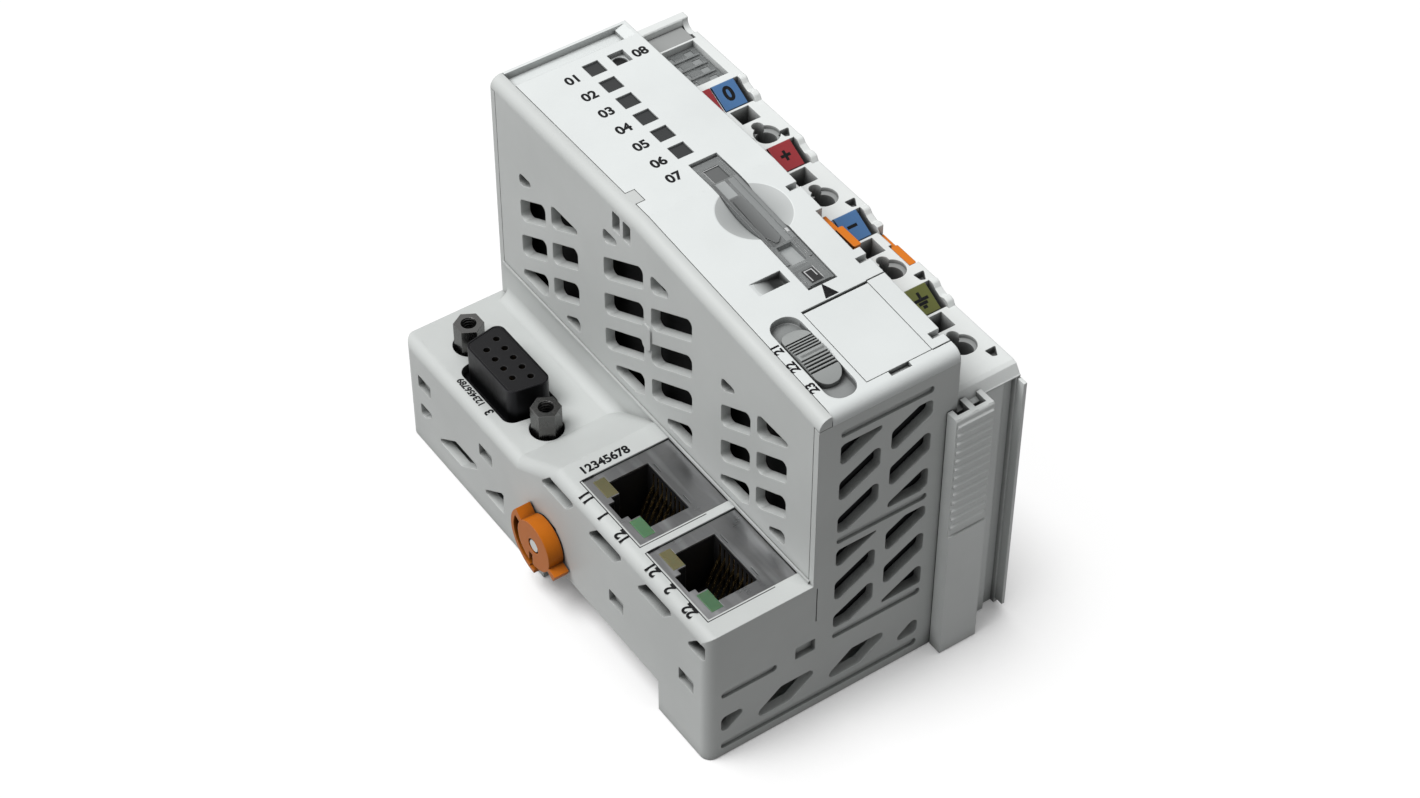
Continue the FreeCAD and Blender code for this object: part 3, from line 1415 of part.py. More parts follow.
def data_contacts():
    contacts = []
    for index in range(6):
        y = data_low + index * data_pitch
        base = box(housing_width - 1.1, housing_width - 0.7, y - 0.75, y + 0.75, data_z - 2.2, data_z + 2.2)
        bow = rod("y", (housing_width - 1.1, y - 0.55, data_z), 0.95, 1.1)
        bow = bow.common(box(housing_width - 1.1, housing_width, y - 1, y + 1, data_z - 2, data_z + 2))
        contacts.append(join([base, bow]))
    return contacts


def power_contacts():
    contacts = []
    for y in power_places:
        x0 = housing_width - 7.0
        tongue = box(x0, housing_width - 0.5, y - 0.35, y + 0.35, power_z - 3.6, power_z + 3.6)
        foot = box(x0, x0 + 0.8, y - 0.85, y + 0.85, power_z - 4.4, power_z + 4.4)
        contacts.append(join([tongue, foot]))
    return contacts


# ---------------------------------------------------------------- export

def export_all():
    export("main_housing", main_housing().cut(rod("x", (-1, disc_y, disc_z), pivot_radius, wall + 1.01)))
    export("side_cover", side_cover())
    export("front_cover", front_cover())
    export("terminal_housing", terminal_housing())
    export("card_cover", card_cover())
    export("service_flap", service_flap())
    export("mode_slider", mode_slider())
    export("mode_switch", mode_switch_body())
    export("reset_button", reset_button())
    export("reset_switch", reset_switch())
    export("card_socket", card_socket())
    export("service_connector", service_connector()[0])
    export_group("service_pins", service_pins())
    export_group("light_guides", light_guides())
    export_group("status_lamps", status_lamps())
    for index in range(2):
        x, y = jack_place(index)
        number = str(2 - index)
        export("network_shield_" + number, jack_shield(x, y))
        export("network_body_" + number, jack_body(x, y))
        export_group("network_contacts_" + number, jack_contacts(x, y))
    export_group("link_lamps", jack_lamps(0))
    export_group("activity_lamps", jack_lamps(1))
    export("serial_shell", serial_shell())
    export("serial_insert", serial_insert())
    export_group("serial_contacts", serial_contacts())
    export_group("serial_nuts", [serial_nut(y) for y in nut_places()])
    export("port_board", port_board())
    export("power_board", power_board())
    export("front_board", front_board())
    export_group("board_connectors", board_connectors())
    export("bus_connector", bus_connector())
    export("terminal_board", terminal_board())
    export("processor", processor())
    export_group("network_transformers", network_transformers())
    export_group("power_capacitors", power_capacitors())
    export("power_inductor", power_inductor())
    cells = [(x, y) for y in rows() for x in columns()]
    export_group("clamp_springs", [clamp_spring(x, y) for x, y in cells])
    export_group("clamp_bars", [clamp_bar(x, y) for x, y in cells])
    red, blue, earth = marker_sets()
    export_group("red_markers", red)
    export_group("blue_markers", blue)
    export_group("earth_markers", earth)
    export("indicator_window", indicator_window())
    export("indicator_board", indicator_board())
    export_group("indicator_lamps", indicator_lights())
    export_group("indicator_guides", indicator_guides())
    export("label_plate", label_plate())
    export_group("data_contacts", data_contacts())
    export_group("power_contacts", power_contacts())
    left_x0 = block_right + 0.15
    left_x1 = block_right + strap_channel - 0.15
    right_x0 = housing_width - strap_channel + 0.15
    right_x1 = housing_width - 0.15
    export("left_release_tab", release_tab(left_x0, left_x1, left_x0, left_x1 + 0.5, left_tab_top, 1.8))
    export("right_release_tab", release_tab(right_x0, right_x1, right_x0 - 0.45, right_x1, right_tab_top, 1.3))
    export("left_rail_latch", rail_latch(left_x0, left_x1))
    export("right_rail_latch", rail_latch(right_x0, right_x1))
    export("left_return_spring", return_spring(left_x0, left_x1))
    export("right_return_spring", return_spring(right_x0, right_x1))
    export("locking_disc", locking_disc())
    export("disc_pivot", disc_pivot())


export_all()
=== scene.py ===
import json
import math

import bmesh
import bpy
from bpy.props import FloatProperty, FloatVectorProperty, PointerProperty
from mathutils import Matrix, Vector
from mathutils.bvhtree import BVHTree


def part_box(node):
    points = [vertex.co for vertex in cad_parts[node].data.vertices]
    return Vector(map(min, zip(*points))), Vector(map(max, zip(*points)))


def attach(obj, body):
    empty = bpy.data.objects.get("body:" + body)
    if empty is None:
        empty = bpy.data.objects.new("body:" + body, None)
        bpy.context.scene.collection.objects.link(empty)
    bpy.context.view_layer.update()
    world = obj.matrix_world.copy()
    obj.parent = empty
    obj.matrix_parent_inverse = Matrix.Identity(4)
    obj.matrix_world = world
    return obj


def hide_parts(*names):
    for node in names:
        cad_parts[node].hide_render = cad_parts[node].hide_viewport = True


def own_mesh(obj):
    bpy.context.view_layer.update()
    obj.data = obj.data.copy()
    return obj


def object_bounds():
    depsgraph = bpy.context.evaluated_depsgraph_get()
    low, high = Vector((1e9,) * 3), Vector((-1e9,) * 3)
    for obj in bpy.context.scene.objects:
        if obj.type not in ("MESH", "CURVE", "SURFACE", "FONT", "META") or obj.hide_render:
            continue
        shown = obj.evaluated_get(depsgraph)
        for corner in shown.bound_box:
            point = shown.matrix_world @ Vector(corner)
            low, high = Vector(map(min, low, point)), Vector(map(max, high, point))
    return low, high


bl_info = {
    "name": "Rail Controller Module",
    "version": (1, 0, 0),
    "blender": (4, 5, 0),
    "location": "View3D > Sidebar > Module",
    "description": "Finishes and fine pieces of a rail-mounted controller module",
    "category": "Object",
}

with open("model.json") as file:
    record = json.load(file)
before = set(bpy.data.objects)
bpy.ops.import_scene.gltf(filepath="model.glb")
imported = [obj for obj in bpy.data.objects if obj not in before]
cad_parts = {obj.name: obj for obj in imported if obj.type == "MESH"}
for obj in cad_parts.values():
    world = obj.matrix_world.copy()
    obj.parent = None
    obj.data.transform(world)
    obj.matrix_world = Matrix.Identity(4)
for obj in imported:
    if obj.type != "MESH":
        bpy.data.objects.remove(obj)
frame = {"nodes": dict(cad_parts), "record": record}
cad_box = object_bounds()

MM = 0.001
ALL_LOW, ALL_HIGH = cad_box
HOUSING = "housing"
IN_PLACE = Matrix.Identity(4)   # for a mesh whose points already lie where they belong
FLOAT = "NodeSocketFloat"
NORMAL = "NodeSocketVector"

WHITE = (1.0, 1.0, 1.0)
SILVER = (0.62, 0.63, 0.65)
FROSTED = (0.62, 0.63, 0.63)
TINNED = (0.62, 0.62, 0.60)
MASK_GREEN = (0.006, 0.035, 0.017)
CHIP_BLACK = (0.022, 0.022, 0.023)
LAMP_WHITE = (0.7, 0.7, 0.62)
PIVOT_WHITE = (0.78, 0.79, 0.77)
HOLE_SHADE_TONE = 0.1                 # share of its colour that a plastic keeps far into a hole, as painted shade

# Painted shade on the floors of the recesses of the front cover, in mm: middle along it, length, width,
# depth where the shade sets in, depth from there to the full shade, loss of shade at the rim, and the share
# of colour that the full shade keeps.
SLOT = {"y": -35.7, "long": 18.9, "wide": 5.8, "depth": 0.5, "full": 0.01, "fade": 0.0, "tone": 0.36}
DISH = {"y": -5.05, "long": 13.2, "wide": 13.2, "depth": 0.05, "full": 0.01, "fade": 0.4, "tone": 0.45}
POCKET = {"y": -19.4, "long": 5.8, "wide": 5.8, "depth": 0.03, "full": 1.1, "fade": 0.0, "tone": 0.03}
POCKET_SIDE = 3.15 * MM         # from the middle of the pocket to the card flap
BESIDE_RECESS = 0.8             # mm from a recess to where the face beside it is measured

# Painted shade in the funnels of the wire entries
FUNNEL_SHADE_TONE = 0.42
FUNNEL_RADIUS = 2.4 * MM
FUNNEL_SHIFT = (0.45 * MM, 0.35 * MM)   # from the axis of an entry to the middle of the painted shade
FUNNEL_DEPTH = 0.1 * MM
FUNNEL_FULL = 0.5 * MM

# Card flap. A span is left, right, low, high in mm, here from its left side and the middle of the module.
# A band adds its tones at the left and right and its opacity.
FLAP_BANDS = {
    "left_wall": (0.95, 1.50, -13.1, 3.6, (0.35, 0.45), 0.9),
    "frosted_head": (1.65, 3.6, -0.55, 3.4, (1.2, 1.35), 0.9),
    "dark_rib": (1.5, 4.1, -13.1, -0.75, (0.28, 0.62), 0.9),
    "frosted_side": (4.2, 6.25, -13.1, 3.4, (0.95, 0.85), 0.85),
    "frosted_foot": (1.85, 4.85, -17.85, -13.45, (1.25, 1.35), 0.95),
}
BAND_RIM = 0.08 * MM
CLEAR_OPACITY = 0.55
PANE = (1.87, 5.03, 3.7, 7.3)
PANE_HEIGHTS = (-0.35 * MM, -0.25 * MM)
PANE_RIM = 0.14
PANE_RIM_HEIGHTS = (-0.24 * MM, -0.10 * MM)
TICK = (5.65 * MM, -11.2 * MM)
TICK_HALF = (0.26 * MM, 0.45 * MM)
TICK_FILM = 0.03 * MM
TICK_LIFT = 0.016 * MM

# Tongue at the low end of the card flap, with spans from the flap's low left corner
TONGUE = (2.2, 4.4, 0.4, 3.6)
TONGUE_HEIGHTS = (0.0, 0.03 * MM)
TONGUE_RIMS = (
    (2.5, 2.72, 0.7, 3.3),
    (2.72, 3.9, 3.08, 3.3),
    (3.9, 4.12, 1.5, 3.3),
    (4.5, 4.64, 0.6, 3.9),
)
TONGUE_RIM_HEIGHTS = (0.0, 0.06 * MM)

# Rail locks and nuts
# Share of the lock orange that the locking disc keeps, as painted shade
DISC_SHADE_TONE = 0.72
THREAD_PITCH = 0.635 * MM
THREAD_DEPTH = 0.16 * MM
THREAD_SUNK = 0.15 * MM         # from the end of the bore to where the thread begins

# Black screens behind the grilles, which paint the shade inside the housing
SCREEN_THICK = 0.06 * MM
SCREEN_GAP = 0.13 * MM          # to the wall in front of a screen
SCREEN_END_GAP = 0.45 * MM      # from the port board to the screens of the end walls
SCREEN_SIDE_GAP = 0.2 * MM      # to the boards above and below

# Printed numbers and signs: how far across and along each stands from a corner of its piece
FILM_LIFT = 0.3                 # share of the film by which the middle of the ink stands off its face
GUIDE_NUMBER = (-1.75 * MM, 1.05 * MM)
RESET_NUMBER = (0.45 * MM, 1.15 * MM)
FLAP_NUMBER = -0.9 * MM
ARROW = (7.0 * MM, 2.0 * MM)
ARROW_HALF = (1.3 * MM, 1.5 * MM)
MARKER_SIGNS = {"red_markers": "plus", "blue_markers": "minus", "earth_markers": "earth"}

# Numbers of the slider and the sockets, with their share of the digit height. Their places are in mm along
# the module, from the low end of the front cover or from the middle of their socket.
SLIDER_NUMBERS = (("23", 6.4), ("22", 11.4), ("21", 15.7))
SLIDER_SIDE = -1.35 * MM
SLIDER_DIGIT = 0.78
SOCKET_ENDINGS = (("2", -5.4), ("", 0.2), ("1", 5.2))
SOCKET_SIDE = -1.5 * MM
SOCKET_DIGIT = 0.92
CONTACT_NUMBERS = (5.6 * MM, 1.9 * MM)
CONTACT_DIGIT = 0.86
SERIAL_NUMBERS = (("123456789", 2.3, 0.62), ("3", -3.6, 0.8))
SERIAL_SIDE = -0.15 * MM

# Line round the low left corner of a network socket
LINE_THICK = 0.16 * MM
LINE_GAP = 0.42 * MM
LINE_LOW_END = -4.6 * MM        # from the right side of the socket
LINE_HIGH_END = 2.2 * MM        # from the left side of the socket

# Stage, in metres
FLOOR_REACH = 3.0
FLOOR_GAP = 0.0002
FLOOR_SHADOW_REACH = 0.022
FLOOR_WHITE = 1.05              # strength of the white that the floor shows away from the module
KEY_PLACE = Vector((-0.35, 0.12, 0.765))
KEY_SIZE = 0.55
CAMERA_RIGHT = Vector((0.82109, -0.57079, 0.00237))
CAMERA_FORWARD = Vector((0.40374, 0.57784, -0.70929))


def colour(name, description, value):
    """A colour that a user can change."""
    return FloatVectorProperty(
        name=name, description=description, subtype="COLOR", size=3, min=0, max=1, default=value
    )


def length(name, description, value):
    """A length in metres that a user can change."""
    return FloatProperty(
        name=name, description=description, unit="LENGTH", min=0, precision=5, default=value
    )



# ---------------------------------------------------------------- settings
class ModulePlastics(bpy.types.PropertyGroup):
    """Colours and grain of the moulded pieces."""

    housing: colour("Housing", "Light grey of the main housing and its grille", (0.60, 0.62, 0.61))
    clamps: colour("Clamp module", "Paler grey of the clamp module", (0.82, 0.845, 0.835))
    cover: colour("Covers", "Near-white of the front cover", (0.77, 0.80, 0.795))
    slider: colour("Slider", "Grey of the mode slider", (0.34, 0.355, 0.35))
    plate: colour("Label plate", "Grey of the label plate", (0.36, 0.37, 0.365))
    smoked: colour("Light guides", "Smoked plastic of the light guides", (0.018, 0.020, 0.021))
    clear: colour("Card flap", "Clear grey plastic of the card flap", (0.30, 0.315, 0.315))
    orange: colour("Locks", "Orange of the rail locks", (0.74, 0.20, 0.012))
    black: colour("Insulators", "Black of insulators and latches", (0.016, 0.016, 0.017))
    grain_size: length("Grain size", "Size of the eroded mould grain", 0.00022)
    grain_depth: length("Grain depth", "Depth of the eroded mould grain", 0.000009)
    edge_radius: length("Edge radius", "Rounding that light shows on moulded edges", 0.00022)


class ModuleMarkers(bpy.types.PropertyGroup):
    """Colours of the clamp markers and lamps."""

    red: colour("Red", "Red markers", (0.31, 0.024, 0.031))
    blue: colour("Blue", "Blue markers", (0.065, 0.17, 0.37))
    olive: colour("Olive", "Markers of the earth clamps", (0.112, 0.124, 0.024))
    green_lamp: colour("Green lamp", "Lens of the link lamps", (0.085, 0.20, 0.095))
    yellow_lamp: colour("Yellow lamp", "Lens of the activity lamps", (0.17, 0.155, 0.070))


class ModuleMetals(bpy.types.PropertyGroup):
    """Colours of the plated and bare metal pieces."""

    shield: colour("Shields", "Dull nickel of the network sockets", (0.27, 0.27, 0.275))
    shell: colour("Serial shell", "Dark nickel of the serial socket", (0.022, 0.022, 0.024))
    nut: colour("Nuts", "Nickel plate of the hexagonal nuts", (0.125, 0.124, 0.122))
    gold: colour("Contacts", "Gold flash of the contacts", (0.80, 0.58, 0.25))
    copper: colour("Bars", "Tinned copper of the conductor bars", (0.62, 0.50, 0.42))
    steel: colour("Springs", "Spring steel", (0.52, 0.52, 0.52))


class ModulePrint(bpy.types.PropertyGroup):
    """Printed numbers and signs."""

    ink: colour("Ink", "Pad-printed ink", (0.012, 0.012, 0.013))
    digit: length("Digit height", "Height of the numbers", 0.00205)
    sign: length("Sign height", "Height of the signs on the markers", 0.0028)
    film: length("Ink film", "Thickness of the ink", 0.00002)


class ModuleStage(bpy.types.PropertyGroup):
    """Floor, light and camera."""

    floor: colour("Floor", "What the floor gives back to the module", (0.22, 0.22, 0.22))
    key_power: FloatProperty(
        name="Key light", description="Power of the key light", subtype="POWER", default=6.2
    )
    sky: FloatProperty(name="Surround", description="Strength of the even surround", default=0.28)
    lens: FloatProperty(name="Lens", description="Focal length", subtype="DISTANCE_CAMERA", default=79.44)
    place: FloatVectorProperty(
        name="Camera", description="Place of the camera", subtype="TRANSLATION",
        default=(-0.21254, -0.31003, 0.40762)
    )


SETTINGS = {
    "module_plastics": ModulePlastics,
    "module_markers": ModuleMarkers,
    "module_metals": ModuleMetals,
    "module_print": ModulePrint,
    "module_stage": ModuleStage,
}


# ---------------------------------------------------------------- colour and node helpers
def shade(base, share, lift=0.0):
    """A colour taken down or up to a share of itself and then lifted, white at most."""
    return tuple(min(1.0, part * share + lift) for part in base)


def feed(tree, socket, value):
    """Sets a socket to a value, or links another socket to it."""
    if isinstance(value, bpy.types.NodeSocket):
        tree.links.new(value, socket)
    elif isinstance(value, tuple) and len(value) == 3 and socket.type == "RGBA":
        socket.default_value = (*value, 1)
    else:
        socket.default_value = value


def feed_all(tree, node, **inputs):
    """Feeds the inputs of a node by their names, in which _ stands for a space."""
    for key, value in inputs.items():
        feed(tree, node.inputs[key.replace("_", " ")], value)


def add(tree, kind, settings=None, **inputs):
    """Adds a node. settings are its own options, inputs are values or sockets by name."""
    node = tree.nodes.new(kind)
    for key, value in (settings or {}).items():
        setattr(node, key, value)
    feed_all(tree, node, **inputs)
    return node


def math_node(tree, operation, first, second=0.0, third=0.0, clamp=False):
    """Result of one operation on up to three values or sockets."""
    node = add(tree, "ShaderNodeMath", {"operation": operation, "use_clamp": clamp})
    for socket, value in zip(node.inputs, (first, second, third)):
        feed(tree, socket, value)
    return node.outputs[0]


def times(tree, first, second, clamp=False):
    """Product of two values or sockets."""
    return math_node(tree, "MULTIPLY", first, second, clamp=clamp)


def mix_colours(tree, factor, first, second):
    """Goes from the first colour to the second as the factor goes from 0 to 1."""
    node = add(tree, "ShaderNodeMix", {"data_type": "RGBA"}, Factor=factor, A=first, B=second)
    return node.outputs["Result"]


def spread(tree, value, low, high, to_low=0.0, to_high=1.0):
    """Maps the range from low to high onto another one, and holds at its ends."""
    node = add(tree, "ShaderNodeMapRange", {"clamp": True}, Value=value, From_Min=low, From_Max=high,
               To_Min=to_low, To_Max=to_high)
    return node.outputs["Result"]


def noise(tree, place, scale, detail=2.0, roughness=0.5):
    """Cloudy values round 0.5."""
    return add(tree, "ShaderNodeTexNoise", Vector=place, Scale=scale, Detail=detail,
               Roughness=roughness).outputs["Fac"]


def object_place(tree):
    """Coordinates in metres that stay with the piece."""
    return tree.nodes.new("ShaderNodeTexCoord").outputs["Object"]


def split(tree, place):
    """The X, Y and Z of coordinates."""
    return add(tree, "ShaderNodeSeparateXYZ", Vector=place).outputs


def stretched(tree, place, turn, scale):
    """Coordinates turned round Z by radians and scaled, for a drawn-out texture."""
    node = add(tree, "ShaderNodeMapping", Vector=place, Rotation=(0.0, 0.0, turn), Scale=scale)
    return node.outputs["Vector"]


def new_group(name, inputs, outputs):
    """An empty shader node group with named sockets. inputs holds (kind, name, default)."""
    tree = bpy.data.node_groups.new(name, "ShaderNodeTree")
    for kind, label, value in inputs:
        socket = tree.interface.new_socket(label, in_out="INPUT", socket_type=kind)
        socket.default_value = value
    for kind, label in outputs:
        tree.interface.new_socket(label, in_out="OUTPUT", socket_type=kind)
    return tree, tree.nodes.new("NodeGroupInput").outputs, tree.nodes.new("NodeGroupOutput")


def place_group(tree, name, **inputs):
    """Places a shared effect in a material and gives back its outputs."""
    return add(tree, "ShaderNodeGroup", {"node_tree": bpy.data.node_groups[name]}, **inputs).outputs


# ---------------------------------------------------------------- shared effects
def mould_grain_group():
    """Spark-eroded grain with a slow waviness, as a moulded face has."""
    tree, given, result = new_group(
        "Mould Grain",
        [(FLOAT, "Size", 0.0002), (FLOAT, "Waviness", 0.3)],
        [(FLOAT, "Height"), (FLOAT, "Tone")],
    )
    place = object_place(tree)
    scale = math_node(tree, "DIVIDE", 1.0, given["Size"])
    fine = noise(tree, place, scale, 3.0, 0.6)
    pits = add(tree, "ShaderNodeTexVoronoi", {"feature": "SMOOTH_F1"}, Vector=place, Scale=scale,
               Smoothness=0.6)
    slow = noise(tree, place, 90.0, 1.0)
    grain = math_node(tree, "MULTIPLY_ADD", pits.outputs["Distance"], 0.6, fine)
    feed_all(tree, result, Height=math_node(tree, "MULTIPLY_ADD", slow, given["Waviness"], grain),
             Tone=noise(tree, place, 45.0, 4.0, 0.55))


def soft_edges_group():
    """Rounded edges in the light, and a mask of the outer edges."""
    tree, given, result = new_group(
        "Soft Edges", [(FLOAT, "Radius", 0.0002)], [(NORMAL, "Normal"), (FLOAT, "Edge")]
    )
    rounded = add(tree, "ShaderNodeBevel", {"samples": 6}, Radius=given["Radius"]).outputs["Normal"]
    facing = add(tree, "ShaderNodeVectorMath", {"operation": "DOT_PRODUCT"})
    feed(tree, facing.inputs[0], rounded)
    feed(tree, facing.inputs[1], tree.nodes.new("ShaderNodeNewGeometry").outputs["Normal"])
    feed_all(tree, result, Normal=rounded, Edge=spread(tree, facing.outputs["Value"], 0.995, 0.80))


def dust_and_shade_group():
    """A thin, patchy deposit that gathers in corners and recesses, where the same mask also paints shade.
    """
    tree, given, result = new_group(
        "Settled Dust", [(FLOAT, "Reach", 0.002), (FLOAT, "Amount", 0.5)], [(FLOAT, "Mask")]
    )
    corner = add(tree, "ShaderNodeAmbientOcclusion", {"samples": 6}, Distance=given["Reach"])
    closed = spread(tree, corner.outputs["AO"], 0.85, 0.25)
    patch = spread(tree, noise(tree, object_place(tree), 700.0, 3.0), 0.3, 0.7, 0.5, 1.0)
    mask = times(tree, closed, patch)
    feed_all(tree, result, Mask=times(tree, mask, given["Amount"], clamp=True))


def rolled_metal_group():
    """Rolling streaks, hairline scratches and slow tarnish of thin plated sheet, and soft gleams of painted
    reflection.
    """
    tree, given, result = new_group(
        "Rolled Metal",
        [(FLOAT, "Streak", 9000.0), (FLOAT, "Tarnish", 0.4)],
        [(FLOAT, "Height"), (FLOAT, "Rough"), (FLOAT, "Stain"), (FLOAT, "Gleam")],
    )
    place = object_place(tree)
    slant = noise(tree, stretched(tree, place, 0.45, (1.0, 0.09, 0.09)), 620.0, 1.0)
    streaks = noise(tree, stretched(tree, place, 0.0, (0.06, 1.0, 0.06)), given["Streak"], 2.0)
    across = noise(tree, stretched(tree, place, 0.6, (1.0, 0.02, 1.0)), 5200.0, 1.0)
    hair = spread(tree, across, 0.68, 0.74)
    cloud = noise(tree, place, 260.0, 4.0, 0.6)
    feed_all(tree, result, Height=math_node(tree, "MULTIPLY_ADD", hair, -0.5, streaks),
             Rough=math_node(tree, "MULTIPLY_ADD", streaks, 0.35, cloud),
             Stain=times(tree, spread(tree, cloud, 0.45, 0.75), given["Tarnish"]),
             Gleam=spread(tree, slant, 0.50, 0.80))


def cavity_shade_group():
    """How far a point lies into a hole or slot, where little light comes: the mask of painted shade."""
    tree, given, result = new_group("Cavity Shade", [(FLOAT, "Reach", 0.006)], [(FLOAT, "Mask")])
    around = add(tree, "ShaderNodeAmbientOcclusion", {"samples": 8}, Distance=given["Reach"])
    feed_all(tree, result, Mask=spread(tree, around.outputs["AO"], 0.64, 0.18))


def sunk_region_group():
    """Floor of a slot with round ends that runs along Y, sunk below a face that leans along Y.

    Half is half the length between the centres of its ends, Level and Slope give the face, Depth and
    Full where the mask sets in and how much deeper it is whole, and Fade what it loses at the rim.
    """
    tree, given, result = new_group(
        "Sunk Region",
        [(FLOAT, "X", 0.0), (FLOAT, "Y", 0.0), (FLOAT, "Half", 0.0), (FLOAT, "Radius", 0.001),
         (FLOAT, "Level", 0.0), (FLOAT, "Slope", 0.0), (FLOAT, "Depth", 0.0001), (FLOAT, "Full", 0.0001),
         (FLOAT, "Fade", 0.0)],
        [(FLOAT, "Mask")],
    )
    place = split(tree, object_place(tree))
    across = math_node(tree, "SUBTRACT", place["X"], given["X"])
    along = math_node(tree, "SUBTRACT", place["Y"], given["Y"])
    past = math_node(tree, "SUBTRACT", math_node(tree, "ABSOLUTE", along), given["Half"])
    past = math_node(tree, "MAXIMUM", past, 0.0)
    squares = math_node(tree, "MULTIPLY_ADD", past, past, times(tree, across, across))
    far = math_node(tree, "DIVIDE", math_node(tree, "SQRT", squares), given["Radius"])
    near = math_node(tree, "LESS_THAN", far, 1.0)
    fading = times(tree, times(tree, far, far), given["Fade"])
    face = math_node(tree, "MULTIPLY_ADD", along, given["Slope"], given["Level"])
    below = math_node(tree, "SUBTRACT", face, place["Z"])
    full = math_node(tree, "ADD", given["Depth"], given["Full"])
    whole = times(tree, near, spread(tree, below, given["Depth"], full))
    feed_all(tree, result, Mask=times(tree, whole, math_node(tree, "SUBTRACT", 1.0, fading)))


# ---------------------------------------------------------------- materials
def new_material(name):
    """A material with its node tree and its Principled shader."""
    material = bpy.data.materials.new(name)
    material.use_nodes = True
    tree = material.node_tree
    return material, tree, tree.nodes["Principled BSDF"]


def relief(tree, shader, height, depth, normal=None):
    """Gives a shader the relief of a height, on top of a normal where there is one."""
    bump = add(tree, "ShaderNodeBump", Strength=1.0, Distance=depth, Height=height)
    if normal is not None:
        feed(tree, bump.inputs["Normal"], normal)
    feed(tree, shader.inputs["Normal"], bump.outputs["Normal"])


def plastic(name, base, roughness, grain=1.0, dust_and_shade_amount=0.35, coat=0.0, shine=0.3, sunk=()):
    """Moulded plastic: grain, lighter worn edges, a patchy deposit with painted shade in its corners,
    painted shade far into holes, uneven sheen.

    sunk holds (tone, sockets of a Sunk Region) for recesses darkened with painted shade.
    """
    given = bpy.context.scene.module_plastics
    material, tree, shader = new_material(name)
    base = tuple(base)
    skin = place_group(tree, "Mould Grain", Size=given.grain_size)
    edges = place_group(tree, "Soft Edges", Radius=given.edge_radius)
    # Painted shade: the deposit mask darkens corners and recesses as shade would, and roughens them as a
    # deposit does.
    dust_and_shade_mask = place_group(tree, "Settled Dust", Reach=0.0016, Amount=dust_and_shade_amount)
    # Painted shade: far into holes and slots the colour falls to a small share of itself.
    hole = place_group(tree, "Cavity Shade", Reach=0.006)
    toned = mix_colours(tree, spread(tree, skin["Tone"], 0.3, 0.7), base, shade(base, 0.93))
    worn = mix_colours(tree, times(tree, edges["Edge"], 0.6), toned, shade(base, 0.90, 0.10))
    tint = mix_colours(tree, dust_and_shade_mask["Mask"], worn, shade(base, 0.55, 0.03))
    # Painted shade on the floors of sunk recesses.
    for tone, region in sunk:
        inside = place_group(tree, "Sunk Region", **region)["Mask"]
        tint = mix_colours(tree, inside, tint, shade(base, tone))
    sheen = spread(tree, skin["Tone"], 0.2, 0.8, roughness - 0.05, roughness + 0.06)
    feed_all(tree, shader, Base_Color=mix_colours(tree, hole["Mask"], tint, shade(base, HOLE_SHADE_TONE)),
             Roughness=math_node(tree, "MULTIPLY_ADD", dust_and_shade_mask["Mask"], 0.2, sheen),
             Specular_IOR_Level=shine, Coat_Weight=coat, Coat_Roughness=0.25)
    relief(tree, shader, skin["Height"], given.grain_depth * grain, edges["Normal"])
    return material


def plated(name, base, roughness=0.3, tarnish=0.4, edge_radius=0.00010, painted_gleam=0.0):
    """Plated or rolled metal with streaks, hair scratches, a slow tarnish and soft gleams of painted
    reflection.
    """
    material, tree, shader = new_material(name)
    base = tuple(base)
    sheet = place_group(tree, "Rolled Metal", Tarnish=tarnish)
    edges = place_group(tree, "Soft Edges", Radius=edge_radius)
    dull = tuple(part * kept for part, kept in zip(base, (0.70, 0.67, 0.62)))
    stained = mix_colours(tree, sheet["Stain"], base, dull)
    # Painted reflection: soft gleams mix the colour towards silver.
    toned = mix_colours(tree, times(tree, sheet["Gleam"], painted_gleam), stained, SILVER)
    feed_all(tree, shader, Base_Color=mix_colours(tree, edges["Edge"], toned, shade(base, 1.25)),
             Roughness=spread(tree, sheet["Rough"], 0.3, 1.1, roughness - 0.08, roughness + 0.14),
             Metallic=1.0)
    relief(tree, shader, sheet["Height"], 0.0000012, edges["Normal"])
    return material


def rim_mask(tree, value, low, high):
    """1 between low and high, with a narrow soft rim."""
    up = spread(tree, value, low, low + BAND_RIM)
    return times(tree, up, spread(tree, value, high, high - BAND_RIM))


def clear_plastic(name, base, bands=()):
    """Tinted see-through plastic with faint flow marks.

    bands holds (low corner, high corner, tones, opacity) of its ribbed and frosted stretches.
    """
    given = bpy.context.scene.module_plastics
    material, tree, shader = new_material(name)
    skin = place_group(tree, "Mould Grain", Size=0.004, Waviness=1.2)
    edges = place_group(tree, "Soft Edges", Radius=given.edge_radius * 0.6)
    tint = mix_colours(tree, times(tree, edges["Edge"], 0.7), tuple(base), FROSTED)
    body = CLEAR_OPACITY
    place = split(tree, object_place(tree))
    for low, high, tones, opacity in bands:
        across = spread(tree, place["X"], low[0], high[0])
        inside = rim_mask(tree, place["X"], low[0], high[0])
        inside = times(tree, inside, rim_mask(tree, place["Y"], low[1], high[1]))
        shaded = mix_colours(tree, across, shade(base, tones[0]), shade(base, tones[1]))
        tint = mix_colours(tree, inside, tint, shaded)
        body = math_node(tree, "MULTIPLY_ADD", inside, math_node(tree, "SUBTRACT", opacity, body), body)
    feed_all(tree, shader, Base_Color=tint, Roughness=spread(tree, skin["Tone"], 0.2, 0.8, 0.08, 0.20),
             IOR=1.49, Alpha=body, Coat_Weight=0.3, Coat_Roughness=0.08)
    relief(tree, shader, skin["Height"], 0.00001, edges["Normal"])
    return material


